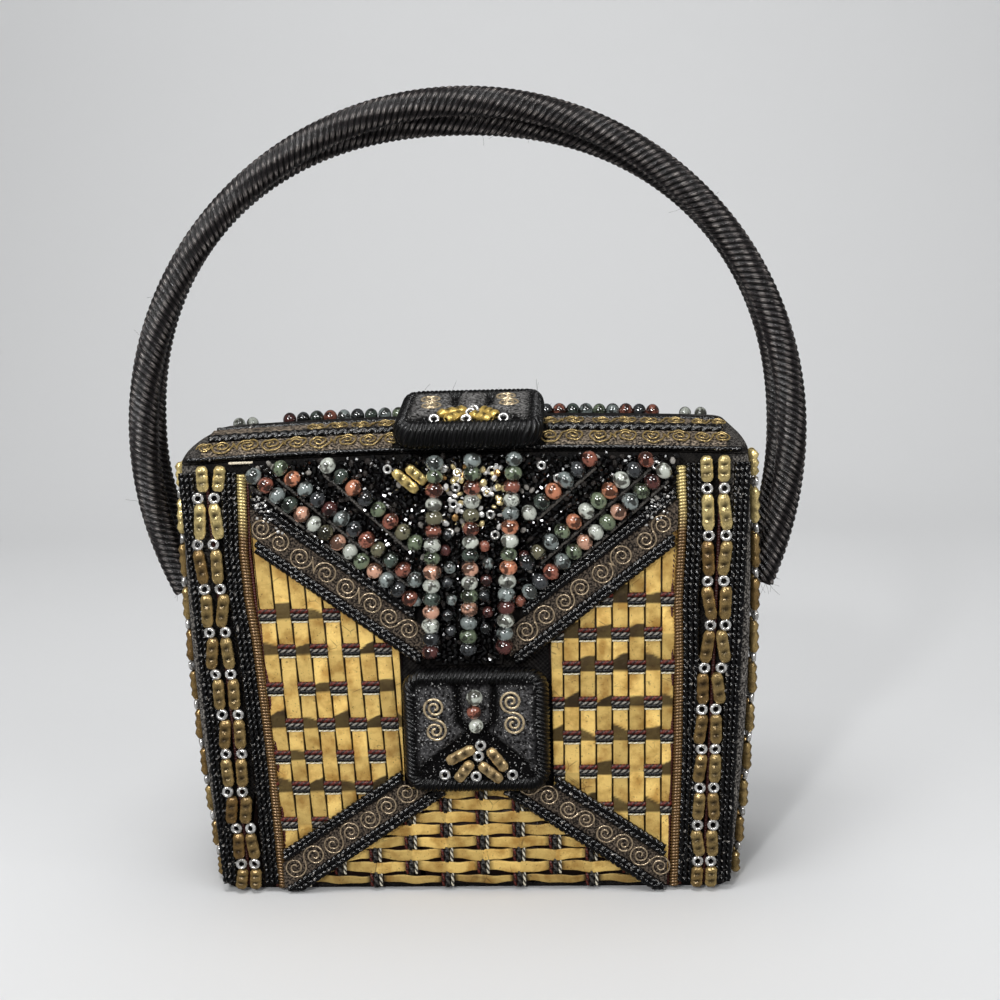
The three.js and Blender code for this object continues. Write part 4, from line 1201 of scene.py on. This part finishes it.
def plaque(name, place, thick, body, nodes, gold, nap_tone, with_stones):
    """A plaque set down by place(a, b, c), which takes millimetres across, up and off its back."""
    half_a, half_b = PAD["wide"] / 2 - PAD["bar"], PAD["tall"] / 2 - PAD["bar"]
    a, b = round_path(half_a, half_b, PAD["corner"])
    path = place(a, b, thick / 2)
    up_off = place(a, b, thick / 2 + 1) - path
    around = way_along(path)[-1]
    turn_in = PAD["strands"] * around / round(around / PAD["winding"])
    flat = 2 * PAD["bar"] / thick
    skin = laid(path, up_off, thick / 2, PAD["strands"], turn_in, hollow=0.24, flat=flat)
    ring = set_down(f"{name}_binding", skin, winding, body, nodes[:1])
    side, lift = square_to(path, up_off)
    at = rng.integers(10, PAD["points"] - 10, PAD_HAIRS)
    spin = np.pi * rng.random((PAD_HAIRS, 1))
    out = PAD["bar"] * np.cos(spin) * side[at] + thick / 2 * np.sin(spin) * lift[at]
    ways = out / 3 + 0.6 * rng.normal(size=(PAD_HAIRS, 3))
    long = 1 + 2 * rng.random(PAD_HAIRS)
    hairs(f"{name}_hairs", path[at] + 0.9 * out, ways, long, rng.normal(size=(PAD_HAIRS, 3)), winding, body)

    a, b = np.meshgrid(np.linspace(-half_a, half_a, 80), np.linspace(-half_b, half_b, 68), indexing="ij")
    top, soft = panel_height(a, b, thick)
    shell = np.concatenate([place(a, b, top), place(a, b, thick * 0.3)[:, ::-1]], 1)
    shell = np.concatenate([shell[:1].copy(), shell, shell[-1:].copy()])
    shell[0], shell[-1] = shell[0].mean(0), shell[-1].mean(0)
    # The felt fades to black towards the binding: painted shade beside the raised ring.
    for half, at in ((half_a, a), (half_b, b)):
        soft = soft * np.clip((half - 1.2 - np.abs(at)) / 1.5, 0, 1)
    tone = rgb("#060506", nap_tone, soft[..., None])
    tone = np.concatenate([tone, tone[:, ::-1]], 1)
    tone = np.concatenate([tone[:1], tone, tone[-1:]])
    n, m = shell.shape[:2]
    skin = shell.reshape(-1, 3), quads(n, m), np.zeros(((n - 1) * m, 4, 2))
    panel = set_down(f"{name}_panel", skin, pad_felt, body, nodes[1:], tone.reshape(-1, 3))

    on_panel = lambda a, b, extra: place(a, b, panel_height(a, b, thick)[0] + extra)
    a, b = np.moveaxis(np.array([s_scroll(first, second, 3.0) for first, second in PAD_SCROLLS]), -1, 0)
    path = place(a, b, thick - 0.3)
    skin = wired(path, place(a, b, thick + 0.7) - path, 0.66)
    set_down(f"{name}_scrolls", skin, wire, body, (), "#d3bf9c")
    out = place(np.zeros(1), 0, 1) - place(np.zeros(1), 0, 0)
    for k, (spot, size, letter) in enumerate(PAD_STONES if with_stones else [], 1):
        places = on_panel(*np.array(spot)[:, None], size * 0.75)
        stones(f"{name}_stone_{k}", places, out, letter, body, (), size, size)
    look = out + 0.9 * TOWARDS + 0.3 * (rng.random((len(PAD_RINGS), 3)) - 0.5)
    skin = copies(RING, on_panel(*PAD_RINGS.T, 0.75), facing(look, [0.1, 0.6, 0.8]), 1.14)
    set_down(f"{name}_rings", skin, white_metal, body)
    first, second = (on_panel(*PAD_TUBES[:, end].T, 1.1) for end in (0, 1))
    tubes_between(f"{name}_tubes", first, second, out[0], 1.5, body, gold)


def front_place(a, b, c):
    """A point of the front plaque, upright on the front."""
    return np.stack(np.broadcast_arrays(2 + a, FRONT - 0.3 - c, 45.2 + b), -1)


def tab_place(a, b, c):
    """A point of the lid's tab, which lies back on the lid with its front edge in the air."""
    tilt, up = np.radians(11), PAD["tall"] / 2 + b
    y = -33.5 + up * np.cos(tilt) - c * np.sin(tilt)
    return np.stack(np.broadcast_arrays(2 + a, y, 118.3 + up * np.sin(tilt) + c * np.cos(tilt)), -1)


plaque(
    "front_plaque", front_place, 6.6, "box", ["front_pad_binding", "front_pad_panel"],
    "#b79d70", "#5a595a", True,
)
plaque("lid_tab", tab_place, 7.2, "lid", ["tab_binding", "tab_panel"], "#dcbb66", "#8c8a88", False)


# Hinge cover: the black cloth carried on over the join at the back, glued to the box below and to the lid
# above. It is the hinge; it is set down as one fixed shape, in neither the box nor the lid.
HINGE = {"half_wide": 69, "height": 115.15, "points": 90, "thick": 0.25}
# Height from the hinge and distance off the back
HINGE_LINE = np.array([
    (-6.0, 0.3), (-4, 0.3), (-2.4, 0.3), (-1.4, 0.3), (-0.7, 0.32), (0, 0.35), (0.4, 0.25), (0.8, 0),
    (1.2, -0.35), (1.6, -0.9),
])
BACKWARDS = np.array([0.0, 1, 0])
x = np.linspace(-HINGE["half_wide"], HINGE["half_wide"], HINGE["points"])
path = np.stack(np.broadcast_arrays(x, BOX["depth"] / 2, HINGE["height"] + crown(x)), -1)
up, out = np.concatenate([HINGE_LINE, HINGE_LINE[::-1] - [0, HINGE["thick"]]]).T
skin = carried(path, BACKWARDS, np.tile(up, (len(x), 1)), np.tile(out, (len(x), 1)))
hinge_cover = set_down("hinge_cover", skin, cloth, None)
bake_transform(hinge_cover)


# Handles: two stiff arches wrapped in a black cord of seven strands laid slantwise, standing on the side
# panels and leaning together at the top.
HANDLES = {
    # half width, rise, fullness, middle x, middle z, end y, top y
    "handle_front": (86.5, 86.5, 2.0, -0.6, 119.8, -9.0, -3.2),
    "handle_back": (87.6, 84.1, 2.2, -2.0, 118.0, 9.0, 3.2),
}
WRAP = {"radius": 3.95, "strands": 7, "turn_in": 12.4, "hollow": 0.34, "swell": 0.65}
HANDLE_FOOT = {"x": 77.4, "z": 79}
ALONG_HAIRS, END_HAIRS = 50, 14
wrap, fibres, grooves = laid_finish("handle_wrap", 0.5, 0.7, 84.0, 7.0, 0.5, 0.9)
chart = wrap.place("UV")
# Painted light: the strands' crests are lighter where fibres and plies show, with painted shade in the
# grooves, and pale streaks along the plies are painted glints.
ply = ((chart.part(0) * 0.6 + chart.part(1) * 7.0) * 6.2832).math("SINE") * 0.5 + 0.5
dark = wrap.mix(fibres.band(0.3, 0.6) * (0.3 + ply * 0.7) * (1 - grooves), ink("#010101"), ink("#453f40"))
painted_glints = fibres.band(0.5, 0.62) * ply.band(0.45, 0.9) * (1 - grooves) * 0.75
wrap.shade({
    "Base Color": wrap.mix(painted_glints, dark, ink("#a9a29c")),
    "Normal": wrap.bump(fibres * 0.6 + ply * 0.5, 0.00045, 0.9),
})
for name, (half, rise, full, mid_x, mid_z, end_y, top_y) in HANDLES.items():
    foot_x, foot_z = HANDLE_FOOT.values()
    share = np.linspace(0, 1, 104)[:-1]
    angle = np.linspace(0, np.pi, 705)
    power = lambda v: np.sign(v) * np.abs(v) ** (2 / full)
    legs = []
    for side in (1, -1):
        top_x = mid_x + side * half
        x = top_x - (top_x - side * foot_x) * (1 - share) ** 2
        legs.append(np.stack([x, foot_z + (mid_z - foot_z) * share], -1))
    arch = np.stack([mid_x + half * power(np.cos(angle)), mid_z + rise * power(np.sin(angle))], -1)
    x, z = np.concatenate([legs[0], arch, legs[1][::-1]]).T
    lean = end_y + (top_y - end_y) * ((z - foot_z) / (mid_z + rise - foot_z)) ** 2
    path = np.stack([x, lean, z], -1)
    skin = laid(path, BACKWARDS, **WRAP)
    set_down(f"{name}_wrap", skin, wrap, "box", [name])
    side, lift = square_to(path, BACKWARDS)
    last = len(path) - 1
    at = np.concatenate([rng.integers(20, last - 19, ALONG_HAIRS), np.repeat([0, last], END_HAIRS)])
    count = len(at)
    spin = 2 * np.pi * rng.random((count, 1))
    out = np.cos(spin) * side[at] + np.sin(spin) * lift[at]
    ways = out + 0.8 * rng.normal(size=(count, 3))
    ways[ALONG_HAIRS:, 2] -= 0.9
    long = 0.7 + 1.2 * rng.random(count)
    hairs(f"{name}_hairs", path[at] + 3.3 * out, ways, long, 0.6 * rng.normal(size=(count, 3)), wrap, "box")
